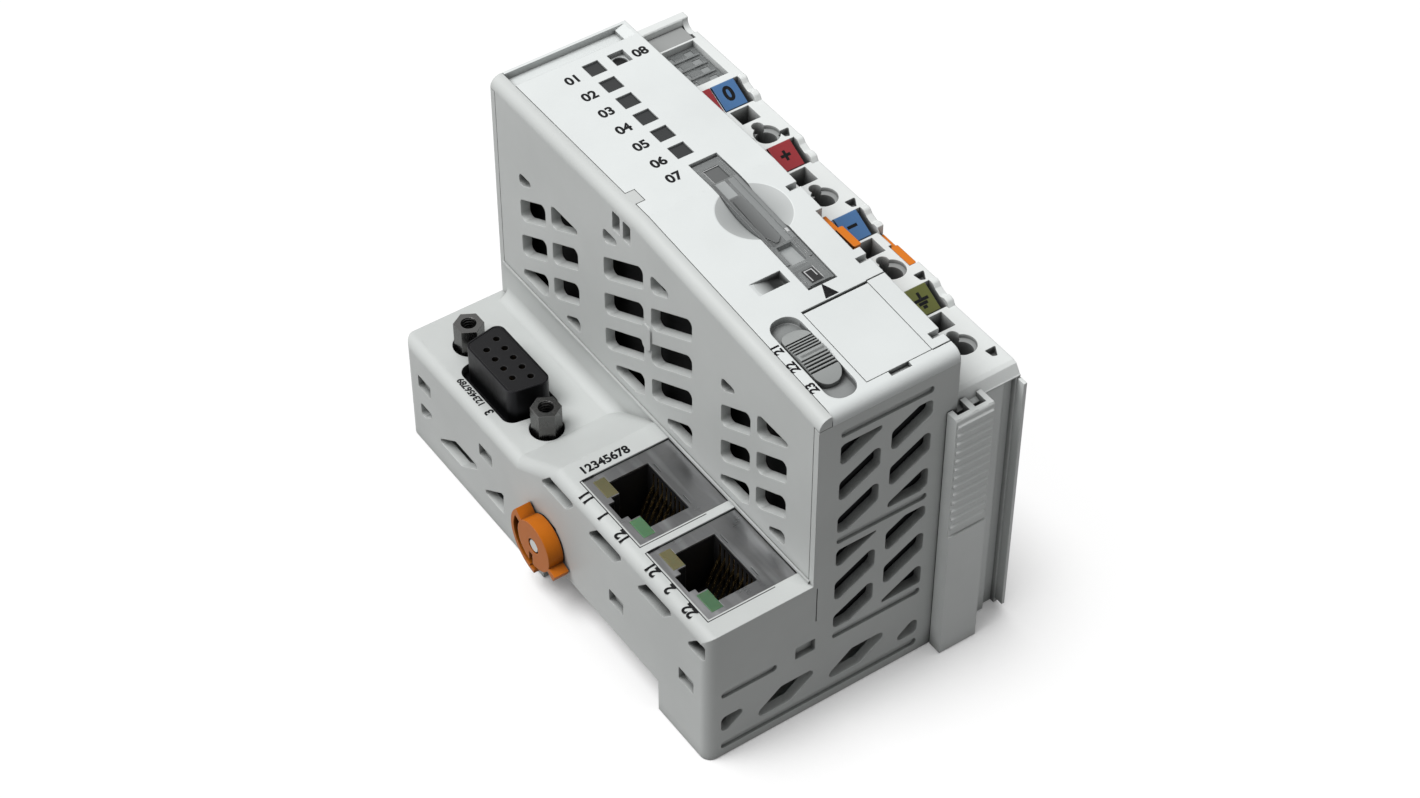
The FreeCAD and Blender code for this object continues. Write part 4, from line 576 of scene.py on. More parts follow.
def lens(name, base):
    """Coloured lamp lens: glossy, cloudy inside, with moulding dimples."""
    given = bpy.context.scene.module_plastics
    material, tree, shader = new_material(name)
    base = tuple(base)
    skin = place_group(tree, "Mould Grain", Size=0.0006, Waviness=1.0)
    edges = place_group(tree, "Soft Edges", Radius=given.edge_radius)
    cloudy = mix_colours(tree, spread(tree, skin["Tone"], 0.3, 0.7), base, shade(base, 0.6))
    feed_all(tree, shader, Base_Color=mix_colours(tree, edges["Edge"], cloudy, shade(base, 1.6, 0.03)),
             Roughness=spread(tree, skin["Tone"], 0.2, 0.8, 0.22, 0.34),
             Subsurface_Weight=0.25, Subsurface_Scale=0.0008)
    relief(tree, shader, skin["Height"], 0.00002, edges["Normal"])
    return material


def solder_mask(name, base):
    """Green board: copper tracks under the mask and tinned pads."""
    material, tree, shader = new_material(name)
    place = object_place(tree)
    rows = add(tree, "ShaderNodeTexBrick", {"offset": 0.37, "squash": 1.0}, Vector=place, Scale=420.0,
               Mortar_Size=0.035, Mortar_Smooth=0.3, Brick_Width=1.3, Row_Height=0.32)
    track = rows.outputs["Fac"]
    dots = add(tree, "ShaderNodeTexVoronoi", {"feature": "F1"}, Vector=place, Scale=620.0,
               Randomness=0.55)
    pad = spread(tree, dots.outputs["Distance"], 0.17, 0.14)
    masked = mix_colours(tree, track, base, shade(base, 2.2, 0.01))
    feed_all(tree, shader, Base_Color=mix_colours(tree, pad, masked, TINNED), Metallic=pad,
             Roughness=spread(tree, noise(tree, place, 500.0), 0.3, 0.7, 0.28, 0.42),
             Coat_Weight=0.4, Coat_Roughness=0.2)
    relief(tree, shader, math_node(tree, "ADD", track, pad), 0.00002)
    return material


def ink(name, base):
    """Pad-printed ink: a slightly uneven film."""
    material, tree, shader = new_material(name)
    tone = noise(tree, object_place(tree), 3000.0, 3.0)
    thin = spread(tree, tone, 0.55, 0.8)
    feed_all(tree, shader, Base_Color=mix_colours(tree, thin, tuple(base), shade(base, 1.0, 0.03)),
             Roughness=spread(tree, tone, 0.2, 0.8, 0.42, 0.6), Specular_IOR_Level=0.06)
    relief(tree, shader, tone, 0.000004)
    return material


def dress(material, *nodes):
    """Gives nodes of the frame their finish."""
    for node in nodes:
        mesh = frame["nodes"][node].data
        mesh.materials.clear()
        mesh.materials.append(material)


# ---------------------------------------------------------------- mesh helpers
def surface_at(node, x, y):
    """Foremost point of a node in front of (x, y), and its normal."""
    mesh = frame["nodes"][node].data
    corners = [vertex.co for vertex in mesh.vertices]
    tree = BVHTree.FromPolygons(corners, [face.vertices[:] for face in mesh.polygons])
    point, normal, _, _ = tree.ray_cast(Vector((x, y, ALL_HIGH[2] + 0.01)), Vector((0, 0, -1)))
    if point is None:
        raise RuntimeError(f"{node} has no surface at {x}, {y}")
    return point, normal


def lying_on(node, x, y, lift, turn=0.0):
    """Matrix that lays something flat on a node at (x, y), turned in that plane by degrees."""
    point, normal = surface_at(node, x, y)
    lean = Vector((0, 0, 1)).rotation_difference(normal).to_matrix().to_4x4()
    return Matrix.Translation(point + normal * lift) @ lean @ Matrix.Rotation(math.radians(turn), 4, "Z")


def mesh_of(form, name):
    """Mesh with what a form holds. The form is used up."""
    mesh = bpy.data.meshes.new(name)
    form.to_mesh(mesh)
    form.free()
    return mesh


def text_mesh(words, height, film, align="CENTER"):
    """Mesh of printed characters with the given height of their capitals."""
    curve = bpy.data.curves.new("words", "FONT")
    curve.body = words
    curve.align_x = align
    curve.align_y = "CENTER"
    curve.size = height / 0.73
    curve.extrude = film / 2
    curve.offset = height * 0.05
    curve.resolution_u = 6
    holder = bpy.data.objects.new("words", curve)
    mesh = bpy.data.meshes.new_from_object(holder)
    bpy.data.objects.remove(holder)
    bpy.data.curves.remove(curve)
    return mesh


def strokes_mesh(outlines, film):
    """Mesh of flat closed outlines, film thick."""
    form = bmesh.new()
    for outline in outlines:
        face = form.faces.new([form.verts.new((x, y, -film / 2)) for x, y in outline])
        grown = bmesh.ops.extrude_face_region(form, geom=[face])
        top = [v for v in grown["geom"] if isinstance(v, bmesh.types.BMVert)]
        bmesh.ops.translate(form, verts=top, vec=(0, 0, film))
    bmesh.ops.recalc_face_normals(form, faces=form.faces)
    return mesh_of(form, "strokes")


def bar_outline(x0, x1, y0, y1):
    """Outline of a bar between two corners."""
    return [(x0, y0), (x1, y0), (x1, y1), (x0, y1)]


def sheet_box(x0, x1, y0, y1, z0, z1):
    """Mesh of a thin sheet between two corners."""
    form = bmesh.new()
    bmesh.ops.create_cube(form, size=1)
    bmesh.ops.scale(form, vec=(x1 - x0, y1 - y0, z1 - z0), verts=form.verts)
    bmesh.ops.translate(form, vec=((x0 + x1) / 2, (y0 + y1) / 2, (z0 + z1) / 2), verts=form.verts)
    return mesh_of(form, "sheet")


def sheet_on(x, y, z, span, heights):
    """Mesh and matrix of a thin sheet over a span in mm from (x, y), between two heights from z."""
    left, right, foot, head = (value * MM for value in span)
    mesh = sheet_box(x + left, x + right, y + foot, y + head, z + heights[0], z + heights[1])
    return mesh, IN_PLACE


def printed(words, tall, film, node, x, y, align="CENTER", turn=0.0):
    """Mesh and matrix of a number printed on a node at (x, y), turned by degrees."""
    return text_mesh(words, tall, film, align), lying_on(node, x, y, FILM_LIFT * film, turn)


def piece(name, placed, material, body, smooth=False):
    """One object from (mesh, matrix) pairs, with its finish, riding on a body."""
    form = bmesh.new()
    for mesh, matrix in placed:
        mesh.transform(matrix)
        form.from_mesh(mesh)
        bpy.data.meshes.remove(mesh)
    mesh = mesh_of(form, name)
    mesh.materials.append(material)
    for face in mesh.polygons:
        face.use_smooth = smooth
        face.material_index = 0
    obj = bpy.data.objects.new(name, mesh)
    bpy.context.scene.collection.objects.link(obj)
    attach(obj, body)
    return obj


def islands(node):
    """(low, high) corners of each separate solid of a node, sorted from its high end down."""
    form = bmesh.new()
    form.from_mesh(frame["nodes"][node].data)
    bmesh.ops.remove_doubles(form, verts=form.verts, dist=1e-6)
    found = []
    left = set(form.verts)
    while left:
        stack = [left.pop()]
        group = []
        while stack:
            vertex = stack.pop()
            group.append(vertex.co.copy())
            for edge in vertex.link_edges:
                other = edge.other_vert(vertex)
                if other in left:
                    left.remove(other)
                    stack.append(other)
        low = Vector([min(p[i] for p in group) for i in range(3)])
        high = Vector([max(p[i] for p in group) for i in range(3)])
        found.append((low, high))
    form.free()
    return sorted(found, key=lambda pair: (-round(pair[0].y, 4), round(pair[0].x, 4)))


# ---------------------------------------------------------------- pieces
class PieceOperator:
    """What the operators of this panel share."""

    bl_options = {"REGISTER", "UNDO"}


class MODULE_OT_effects(PieceOperator, bpy.types.Operator):
    """Build the shader groups that the finishes share"""

    bl_idname = "module.effects"
    bl_label = "Shared Effects"

    def execute(self, context):
        mould_grain_group()
        soft_edges_group()
        dust_and_shade_group()
        rolled_metal_group()
        cavity_shade_group()
        sunk_region_group()
        return {"FINISHED"}


class MODULE_OT_housings(PieceOperator, bpy.types.Operator):
    """Finish the two housings and the covers"""

    bl_idname = "module.housings"
    bl_label = "Housings and Covers"

    def execute(self, context):
        given = context.scene.module_plastics
        dress(plastic("Housing Grey", given.housing, 0.48), "main_housing")
        # The clamp module carries painted shade in its wire funnels.
        dress(plastic("Clamp Module Grey", given.clamps, 0.48, sunk=self.funnel_shades()), "terminal_housing")
        dress(plastic("Grille Cover Grey", given.housing, 0.46), "side_cover")
        # The front cover carries painted shade in its recesses.
        white = plastic("Cover White", given.cover, 0.44, dust_and_shade_amount=0.25, sunk=self.recesses())
        dress(white, "front_cover", "service_flap")
        return {"FINISHED"}

    def funnel_shades(self):
        """Painted shade in the funnels of the wire entries, with its tone."""
        rims = []
        for mount in frame["record"]["mounts"]:
            if mount["name"].startswith("wire_entry"):
                x, y, z = mount["pos_m"]
                level = z + mount["dims"]["length_mm"] * MM / 2
                rims.append((FUNNEL_SHADE_TONE, {
                    "X": x + FUNNEL_SHIFT[0], "Y": y + FUNNEL_SHIFT[1], "Radius": FUNNEL_RADIUS,
                    "Level": level, "Depth": FUNNEL_DEPTH, "Full": FUNNEL_FULL,
                }))
        return rims

    def recesses(self):
        """Painted shade in the slider slot, thumb dish and finger pocket of the front cover, with its
        tones.
        """
        slider_low, slider_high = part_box("mode_slider")
        flap_low, flap_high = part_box("card_cover")
        return [
            self.region((slider_low.x + slider_high.x) / 2, **SLOT),
            self.region((flap_low.x + flap_high.x) / 2, **DISH),
            self.region(flap_low.x - POCKET_SIDE, **POCKET),
        ]

    def region(self, x, y, long, wide, depth, full, fade, tone):
        """Painted shade tone and sockets of a Sunk Region with its middle at x, with the lean of the face
        beside it.
        """
        side = x - (wide / 2 + BESIDE_RECESS) * MM
        below = surface_at("front_cover", side, (y - 0.2 * long) * MM)[0]
        above = surface_at("front_cover", side, (y + 0.2 * long) * MM)[0]
        slope = (above.z - below.z) / (above.y - below.y)
        return tone, {
            "X": x, "Y": y * MM, "Half": (long - wide) / 2 * MM, "Radius": wide / 2 * MM,
            "Level": (above.z + below.z) / 2, "Slope": slope,
            "Depth": depth * MM, "Full": full * MM, "Fade": fade,
        }


class MODULE_OT_face(PieceOperator, bpy.types.Operator):
    """Finish the light guides, slider and reset button, and fit out the card flap"""

    bl_idname = "module.face"
    bl_label = "Operating Face"

    def execute(self, context):
        given = context.scene.module_plastics
        dress(plastic("Smoked Guide", given.smoked, 0.32, grain=0.5, coat=0.15), "light_guides")
        dress(plastic("Slider Grey", given.slider, 0.42), "mode_slider")
        dress(clear_plastic("Card Flap Clear", given.clear, bands=self.bands()), "card_cover")
        self.flap_fittings(given)
        dress(plastic("Button Black", given.black, 0.4), "reset_button", "mode_switch", "service_connector")
        dress(plastic("Lamp White", LAMP_WHITE, 0.3), "status_lamps")
        return {"FINISHED"}

    def bands(self):
        """Corners, tones and opacity of the side wall, rib and frosted stretches of the card flap."""
        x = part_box("card_cover")[0].x
        return [((x + left * MM, foot * MM), (x + right * MM, head * MM), tones, opacity)
                for left, right, foot, head, tones, opacity in FLAP_BANDS.values()]

    def flap_fittings(self, given):
        """Pane in the window of the card flap, its pale rims, and the tongue at its low end."""
        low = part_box("card_cover")[0]
        pane = plastic("Pane Grey", shade(given.clear, 0.34), 0.2, grain=0.2, coat=0.5)
        rim = plastic("Rim Pale", FROSTED, 0.3, grain=0.2)
        left, right, foot, head = PANE
        top = surface_at("card_cover", low.x + (left - 0.3) * MM, (foot + head) / 2 * MM)[0].z
        placed = [sheet_on(low.x, 0, top, PANE, PANE_HEIGHTS)]
        piece("flap_pane", placed, pane, "card_cover")
        upright = (left, left + PANE_RIM, foot, head)
        crossing = (left + PANE_RIM, right, head - PANE_RIM, head)
        placed = [sheet_on(low.x, 0, top, line, PANE_RIM_HEIGHTS) for line in (upright, crossing)]
        half_wide, half_tall = TICK_HALF
        tick = strokes_mesh([bar_outline(-half_wide, half_wide, -half_tall, half_tall)], TICK_FILM)
        placed.append((tick, lying_on("card_cover", low.x + TICK[0], TICK[1], TICK_LIFT)))
        tongue = surface_at("card_cover", low.x + 2.0 * MM, low.y + 1.5 * MM)[0].z
        for line in TONGUE_RIMS:
            placed.append(sheet_on(low.x, low.y, tongue, line, TONGUE_RIM_HEIGHTS))
        piece("flap_rims", placed, rim, "card_cover")
        placed = [sheet_on(low.x, low.y, tongue, TONGUE, TONGUE_HEIGHTS)]
        dark = plastic("Tongue Dark", given.black, 0.3, grain=0.2)
        piece("flap_tongue", placed, dark, "card_cover")


class MODULE_OT_network(PieceOperator, bpy.types.Operator):
    """Finish the two network sockets"""

    bl_idname = "module.network"
    bl_label = "Network Sockets"

    def execute(self, context):
        metals = context.scene.module_metals
        marks = context.scene.module_markers
        black = context.scene.module_plastics.black
        # The shields carry soft gleams of painted reflection.
        nickel = plated("Shield Nickel", metals.shield, 0.3, 0.3, painted_gleam=0.45)
        dress(nickel, "network_shield_1", "network_shield_2")
        plain = plastic("Socket Black", black, 0.4, grain=0.6, shine=0.12)
        dress(plain, "network_body_1", "network_body_2")
        dress(plated("Contact Gold", metals.gold, 0.22, 0.2, 0.00005), "network_contacts_1",
              "network_contacts_2", "serial_contacts", "service_pins", "data_contacts")
        dress(lens("Link Yellow", marks.yellow_lamp), "link_lamps")
        dress(lens("Activity Green", marks.green_lamp), "activity_lamps")
        return {"FINISHED"}


class MODULE_OT_serial(PieceOperator, bpy.types.Operator):
    """Finish the serial socket and its nuts"""

    bl_idname = "module.serial"
    bl_label = "Serial Socket"

    def execute(self, context):
        metals = context.scene.module_metals
        black = context.scene.module_plastics.black
        dress(plated("Dark Nickel", metals.shell, 0.38, 0.5, 0.00015), "serial_shell")
        dress(plated("Nut Nickel", metals.nut, 0.24, 0.5, 0.00012), "serial_nuts")
        dress(plastic("Insert Black", black, 0.5, shine=0.12), "serial_insert")
        return {"FINISHED"}


class MODULE_OT_clamps(PieceOperator, bpy.types.Operator):
    """Finish the markers, clamps, status window and contacts of the clamp module"""

    bl_idname = "module.clamps"
    bl_label = "Clamp Module"

    def execute(self, context):
        marks = context.scene.module_markers
        metals = context.scene.module_metals
        given = context.scene.module_plastics
        for name, tint, node in (
            ("Marker Red", marks.red, "red_markers"),
            ("Marker Blue", marks.blue, "blue_markers"),
            ("Marker Olive", marks.olive, "earth_markers"),
        ):
            dress(plastic(name, tint, 0.38, coat=0.15), node)
        dress(plated("Spring Steel", metals.steel, 0.3, 0.3), "clamp_springs")
        dress(plated("Bar Copper", metals.copper, 0.32, 0.5), "clamp_bars", "power_contacts")
        dress(clear_plastic("Window Clear", given.clear), "indicator_window")
        dress(plastic("Indicator Lamp", given.smoked, 0.3), "indicator_lamps")
        dress(plastic("Indicator Guide", given.clear, 0.3), "indicator_guides")
        dress(plastic("Label Grey", given.plate, 0.4, grain=0.4), "label_plate")
        return {"FINISHED"}


class MODULE_OT_locks(PieceOperator, bpy.types.Operator):
    """Finish the locking disc, release tabs, latches and their springs"""

    bl_idname = "module.locks"
    bl_label = "Rail Locks"

    def execute(self, context):
        given = context.scene.module_plastics
        orange = plastic("Tab Orange", given.orange, 0.34, grain=0.6, coat=0.1, shine=0.15)
        dress(orange, "left_release_tab", "right_release_tab")
        # Painted shade: the locking disc gets a darker copy of the lock orange.
        shaded_orange = plastic("Disc Orange", shade(given.orange, DISC_SHADE_TONE), 0.4, grain=0.6, shine=0.1)
        dress(shaded_orange, "locking_disc")
        dress(plastic("Latch Black", given.black, 0.45), "left_rail_latch", "right_rail_latch")
        steel = plated("Return Spring Steel", context.scene.module_metals.steel, 0.3, 0.3)
        for side in ("left", "right"):
            self.spring(side, steel)
        dress(plastic("Pivot White", PIVOT_WHITE, 0.4), "disc_pivot")
        return {"FINISHED"}

    def spring(self, side, material):
        """Copy of the return spring between the housing and the arm of its tab, riding on the housing."""
        node = f"{side}_return_spring"
        mesh = frame["nodes"][node].data.copy()
        obj = piece(f"{side}_spring_folds", [(mesh, IN_PLACE)], material, HOUSING)
        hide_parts(node)
        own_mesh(obj)


class MODULE_OT_boards(PieceOperator, bpy.types.Operator):
    """Finish the circuit boards and the parts on them"""

    bl_idname = "module.boards"
    bl_label = "Circuit Boards"

    def execute(self, context):
        metals = context.scene.module_metals
        black = context.scene.module_plastics.black
        dress(solder_mask("Board Green", MASK_GREEN), "port_board", "power_board", "front_board",
              "terminal_board", "indicator_board")
        dress(plastic("Chip Black", CHIP_BLACK, 0.55), "processor", "network_transformers", "reset_switch",
              "power_inductor")
        dress(plastic("Connector Black", black, 0.45), "board_connectors", "bus_connector")
        dress(plated("Can Silver", SILVER, 0.3, 0.3), "power_capacitors")
        dress(plated("Card Socket Tin", metals.shield, 0.32, 0.4), "card_socket")
        return {"FINISHED"}


class MODULE_OT_shade_screens(PieceOperator, bpy.types.Operator):
    """Line the grilles with black screens that paint the shade inside the housing"""

    bl_idname = "module.screens"
    bl_label = "Shade Screens"

    def execute(self, context):
        # Painted shade: black sheets behind the grilles stand in for the dark inside.
        shade_black = plastic("Screen Black", context.scene.module_plastics.black, 0.9)
        placed = [(sheet_box(*sheet), IN_PLACE) for sheet in self.sheets()]
        piece("dust_screens", placed, shade_black, HOUSING)
        return {"FINISHED"}

    def sheets(self):
        """Corners of the screens behind the side grille, the end walls and the wall with the sockets."""
        front_low, front_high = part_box("front_board")
        port_low, port_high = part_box("port_board")
        shield_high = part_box("network_shield_1")[1]
        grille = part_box("side_cover")[1].x
        end = port_high.y + SCREEN_END_GAP
        low = port_high.z + SCREEN_SIDE_GAP
        high = front_low.z - SCREEN_SIDE_GAP
        left = port_low.x - SCREEN_GAP
        right = front_high.x + 1.8 * MM
        ports = shield_high.z - 2.2 * MM
        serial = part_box("serial_shell")[0].z - SCREEN_SIDE_GAP
        foot = low + 5.6 * MM
        front = grille + SCREEN_GAP
        inner = grille + 0.3 * MM
        outer = grille + 0.2 * MM
        return [
            (front, front + SCREEN_THICK, -end, end, foot, high),
            (inner, right, -end - SCREEN_THICK, -end, low, high),
            (inner, right, end, end + SCREEN_THICK, low, high),
            (left, outer, -end - SCREEN_THICK, -end, low, ports),
            (left, outer, end, end + SCREEN_THICK, low, serial),
            (left - SCREEN_THICK, left, -end, shield_high.y, low, ports),
            (left - SCREEN_THICK, left, shield_high.y, end, low, serial),
        ]


class MODULE_OT_numbers(PieceOperator, bpy.types.Operator):
    """Print the plain numbers beside the windows, switch and sockets"""

    bl_idname = "module.numbers"
    bl_label = "Printed Numbers"

    def execute(self, context):
        given = context.scene.module_print
        black = ink("Print Black", given.ink)
        piece("face_numbers", self.face_numbers(given.digit, given.film), black, HOUSING)
        piece("socket_numbers", self.socket_numbers(given.digit, given.film), black, HOUSING)
        return {"FINISHED"}

    def face_numbers(self, tall, film):
        """Numbers of the light guides, reset button, card flap and slider positions."""
        node = "front_cover"
        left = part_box("light_guides")[0].x + GUIDE_NUMBER[0]
        placed = []
        for count, (low, high) in enumerate(islands("light_guides"), 1):
            placed.append(printed(f"0{count}", tall, film, node, left, low.y + GUIDE_NUMBER[1], "RIGHT"))
        low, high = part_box("reset_button")
        right = high.x + RESET_NUMBER[0]
        placed.append(printed("08", tall, film, node, right, low.y + RESET_NUMBER[1], "LEFT"))
        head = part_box("card_cover")[1].y
        placed.append(printed("07", tall, film, node, left, head + FLAP_NUMBER, "RIGHT"))
        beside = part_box("mode_slider")[0].x + SLIDER_SIDE
        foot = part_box(node)[0].y
        for words, y in SLIDER_NUMBERS:
            placed.append(printed(words, tall * SLIDER_DIGIT, film, node, beside, foot + y * MM, turn=90))
        return placed

    def socket_numbers(self, tall, film):
        """Numbers of the network sockets, their lamps and contacts, and of the serial socket."""
        node = "main_housing"
        placed = []
        for count, shield in enumerate(("network_shield_1", "network_shield_2"), 1):
            low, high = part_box(shield)
            beside = low.x + SOCKET_SIDE
            for ending, shift in SOCKET_ENDINGS:
                y = (low.y + high.y) / 2 + shift * MM
                words = f"{count}{ending}"
                placed.append(printed(words, tall * SOCKET_DIGIT, film, node, beside, y, turn=90))
            placed.append(self.frame_line(low, high, film))
        low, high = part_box("network_shield_1")
        x = low.x + CONTACT_NUMBERS[0]
        y = high.y + CONTACT_NUMBERS[1]
        placed.append(printed("12345678", tall * CONTACT_DIGIT, film, node, x, y))
        low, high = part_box("serial_shell")
        for words, shift, part in SERIAL_NUMBERS:
            y = (low.y + high.y) / 2 + shift * MM
            placed.append(printed(words, tall * part, film, node, low.x + SERIAL_SIDE, y, turn=90))
        return placed

    def frame_line(self, low, high, film):
        """Mesh and matrix of the thin line along the left side and low end of a socket."""
        x0 = low.x - LINE_GAP
        y0 = low.y - LINE_GAP
        left = x0 - LINE_THICK
        foot = y0 - LINE_THICK
        head = high.y + LINE_THICK
        low_end = high.x + LINE_LOW_END
        high_end = low.x + LINE_HIGH_END
        outline = [(left, foot), (low_end, foot), (low_end, y0), (x0, y0),
                   (x0, high.y), (high_end, high.y), (high_end, head), (left, head)]
        z = surface_at("main_housing", x0, (low.y + high.y) / 2)[0].z + FILM_LIFT * film
        return strokes_mesh([outline], film), Matrix.Translation((0, 0, z))


def sign_strokes(kind, size):
    """Outlines of a plus, minus or earth sign, size high."""
    half = size * 0.5
    arm = size * 0.35
    line = size * 0.10
    bar = bar_outline(-arm, arm, -line, line)
    if kind == "minus":
        return [bar]
    if kind == "plus":
        return [bar, bar_outline(-line, line, line, arm), bar_outline(-line, line, -arm, -line)]
    strokes = [bar_outline(-line, line, line, half)]
    for count, width in enumerate((1.0, 0.62, 0.28)):
        y = line - count * 0.24 * size
        strokes.append(bar_outline(-half * width, half * width, y - 2 * line, y))
    return strokes


class MODULE_OT_signs(PieceOperator, bpy.types.Operator):
    """Print the generic signs on the markers and the arrow beside the service flap"""

    bl_idname = "module.signs"
    bl_label = "Printed Signs"

    def execute(self, context):
        given = context.scene.module_print
        black = ink("Sign Black", given.ink)
        lift = FILM_LIFT * given.film
        placed = []
        highest = max(low.y for low, high in islands("blue_markers"))
        for node, kind in MARKER_SIGNS.items():
            for low, high in islands(node):
                # The blue markers of the highest row carry a nought.
                if node == "blue_markers" and low.y > highest - MM:
                    mesh = text_mesh("0", given.sign, given.film)
                else:
                    mesh = strokes_mesh(sign_strokes(kind, given.sign), given.film)
                placed.append((mesh, lying_on(node, (low.x + high.x) / 2, (low.y + high.y) / 2, lift)))
        piece("marker_signs", placed, black, HOUSING)

        low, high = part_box("service_flap")
        x, y = ARROW_HALF
        arrow = strokes_mesh([[(-x, -y), (x, -y), (0, y)]], given.film)
        at = lying_on("front_cover", low.x + ARROW[0], high.y + ARROW[1], lift)
        piece("arrow_mark", [(arrow, at)], black, HOUSING)
        return {"FINISHED"}


def nut_thread(x, y, low, high, radius):
    """Helical ridge of an inner screw thread that runs down a bore from high to low."""
    form = bmesh.new()
    steps = 24
    root = radius + 0.02 * MM
    crest = radius - THREAD_DEPTH
    turns = (high - low) / THREAD_PITCH
    ring = []
    for count in range(int(turns * steps)):
        turn = 2 * math.pi * count / steps
        z = high - THREAD_PITCH * count / steps
        section = [(root, z), (crest, z - THREAD_PITCH * 0.35), (root, z - THREAD_PITCH * 0.7)]
        now = [form.verts.new((x + r * math.cos(turn), y + r * math.sin(turn), h)) for r, h in section]
        if ring:
            form.faces.new([ring[0], ring[1], now[1], now[0]])
            form.faces.new([ring[1], ring[2], now[2], now[1]])
        ring = now
    return mesh_of(form, "thread")


class MODULE_OT_threads(PieceOperator, bpy.types.Operator):
    """Cut the inner threads of the two hexagonal nuts"""

    bl_idname = "module.threads"
    bl_label = "Nut Threads"

    def execute(self, context):
        steel = plated("Thread Steel", context.scene.module_metals.nut, 0.3, 0.6, 0.00005)
        placed = []
        for mount in frame["record"]["mounts"]:
            if mount["kind"] != "threaded_hole":
                continue
            x, y, z = mount["pos_m"]
            half = mount["dims"]["length_mm"] * MM / 2
            radius = mount["dims"]["r_mm"] * MM
            placed.append((nut_thread(x, y, z - half, z + half - THREAD_SUNK, radius), IN_PLACE))
        piece("nut_threads", placed, steel, HOUSING, smooth=True)
        return {"FINISHED"}


# ---------------------------------------------------------------- stage
def seen_rays(tree):
    """1 for what the camera, gloss and glass see, 0 for the light that a surface gives back."""
    seen = tree.nodes.new("ShaderNodeLightPath").outputs
    eye = math_node(tree, "MAXIMUM", seen["Is Camera Ray"], seen["Is Glossy Ray"])
    return math_node(tree, "MAXIMUM", eye, seen["Is Transmission Ray"])


def white_over(tree, shader, part, strength):
    """Mixes a part of plain white light over a shader."""
    white = add(tree, "ShaderNodeEmission", Color=WHITE, Strength=strength)
    mix = tree.nodes.new("ShaderNodeMixShader")
    for socket, value in zip(mix.inputs, (part, shader, white.outputs[0])):
        feed(tree, socket, value)
    return mix.outputs[0]


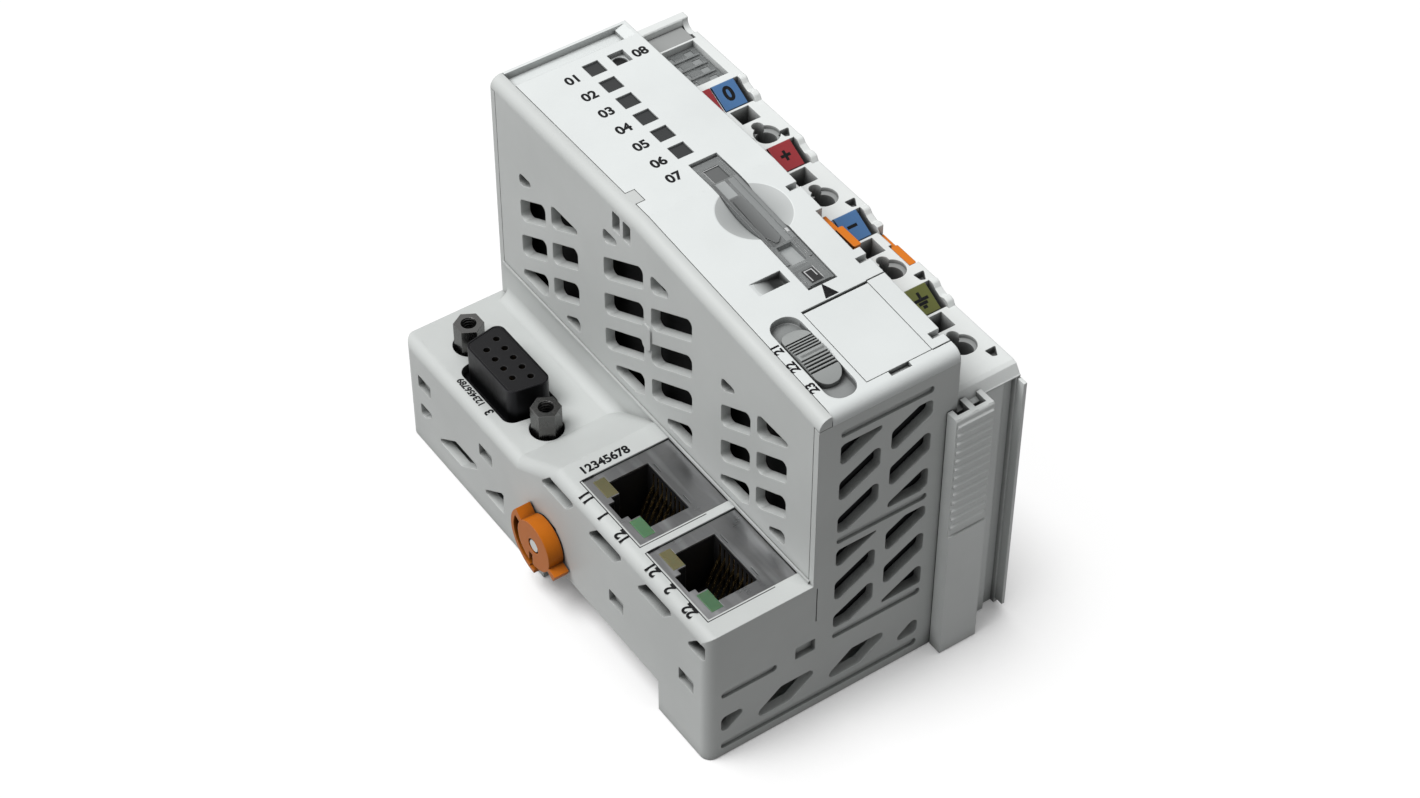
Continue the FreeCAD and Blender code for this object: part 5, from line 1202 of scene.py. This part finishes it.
class MODULE_OT_stage(PieceOperator, bpy.types.Operator):
    """Set the floor, the soft light and the camera"""

    bl_idname = "module.stage"
    bl_label = "Stage"

    def execute(self, context):
        given = context.scene.module_stage
        self.floor(context, given)
        self.lights(context, given)
        self.camera(context, given)
        context.scene.view_settings.view_transform = "Standard"
        return {"FINISHED"}

    def floor(self, context, given):
        """Plain floor that looks white, darker close under the module."""
        form = bmesh.new()
        bmesh.ops.create_grid(form, x_segments=2, y_segments=2, size=FLOOR_REACH)
        mesh = mesh_of(form, "floor")
        floor = bpy.data.objects.new("floor", mesh)
        floor.location.z = ALL_LOW[2] - FLOOR_GAP
        context.scene.collection.objects.link(floor)
        material, tree, shader = new_material("Floor Pale")
        eye = seen_rays(tree)
        feed_all(tree, shader, Base_Color=mix_colours(tree, eye, tuple(given.floor), WHITE),
                 Roughness=0.9, Specular_IOR_Level=0.1)
        near = add(tree, "ShaderNodeAmbientOcclusion", {"samples": 8}, Distance=FLOOR_SHADOW_REACH)
        part = times(tree, eye, spread(tree, near.outputs["AO"], 0.45, 1.0, 0.12, 0.9))
        output = tree.nodes["Material Output"].inputs["Surface"]
        feed(tree, output, white_over(tree, shader.outputs[0], part, FLOOR_WHITE))
        mesh.materials.append(material)

    def lights(self, context, given):
        """One soft key lamp and an even surround that looks white."""
        middle = Vector((0, 0, ALL_HIGH[2] / 2))
        lamp = bpy.data.lights.new("key_light", "AREA")
        lamp.shape = "DISK"
        lamp.size = KEY_SIZE
        lamp.energy = given.key_power
        obj = bpy.data.objects.new("key_light", lamp)
        obj.location = KEY_PLACE
        obj.rotation_euler = (middle - KEY_PLACE).to_track_quat("-Z", "Y").to_euler()
        context.scene.collection.objects.link(obj)
        world = bpy.data.worlds.new("surround")
        world.use_nodes = True
        tree = world.node_tree
        soft = tree.nodes["Background"]
        feed_all(tree, soft, Color=WHITE, Strength=given.sky)
        surface = tree.nodes["World Output"].inputs["Surface"]
        feed(tree, surface, white_over(tree, soft.outputs[0], seen_rays(tree), 1.0))
        context.scene.world = world

    def camera(self, context, given):
        """Long lens that looks down on the left side and the operating face."""
        camera = bpy.data.cameras.new("camera")
        camera.sensor_fit = "HORIZONTAL"
        camera.sensor_width = 36
        camera.lens = given.lens
        camera.clip_start = 0.01
        camera.clip_end = 20
        obj = bpy.data.objects.new("camera", camera)
        up = CAMERA_RIGHT.cross(CAMERA_FORWARD)
        turn = Matrix((CAMERA_RIGHT, up, -CAMERA_FORWARD)).transposed().to_4x4()
        obj.matrix_world = Matrix.Translation(given.place) @ turn
        context.scene.collection.objects.link(obj)
        context.scene.camera = obj


OPERATORS = [
    MODULE_OT_stage,
    MODULE_OT_effects,
    MODULE_OT_housings,
    MODULE_OT_face,
    MODULE_OT_network,
    MODULE_OT_serial,
    MODULE_OT_clamps,
    MODULE_OT_locks,
    MODULE_OT_boards,
    MODULE_OT_shade_screens,
    MODULE_OT_numbers,
    MODULE_OT_signs,
    MODULE_OT_threads,
]


class MODULE_PT_panel(bpy.types.Panel):
    """Lists the pieces and settings of the module"""

    bl_idname = "MODULE_PT_panel"
    bl_label = "Controller Module"
    bl_space_type = "VIEW_3D"
    bl_region_type = "UI"
    bl_category = "Module"

    def draw(self, context):
        layout = self.layout
        for operator in OPERATORS:
            layout.operator(operator.bl_idname)
        for name, group in SETTINGS.items():
            box = layout.box()
            box.label(text=group.__doc__)
            for key in group.__annotations__:
                box.prop(getattr(context.scene, name), key)


def register():
    for group in SETTINGS.values():
        bpy.utils.register_class(group)
    for name, group in SETTINGS.items():
        setattr(bpy.types.Scene, name, PointerProperty(type=group))
    for operator in OPERATORS:
        bpy.utils.register_class(operator)
    bpy.utils.register_class(MODULE_PT_panel)


def unregister():
    bpy.utils.unregister_class(MODULE_PT_panel)
    for operator in reversed(OPERATORS):
        bpy.utils.unregister_class(operator)
    for name in SETTINGS:
        delattr(bpy.types.Scene, name)
    for group in reversed(list(SETTINGS.values())):
        bpy.utils.unregister_class(group)


def main():
    """Registers the settings, operators and panel, and builds every piece in order."""
    register()
    for operator in OPERATORS:
        family, name = operator.bl_idname.split(".")
        getattr(getattr(bpy.ops, family), name)()


if __name__ == "__main__":
    main()
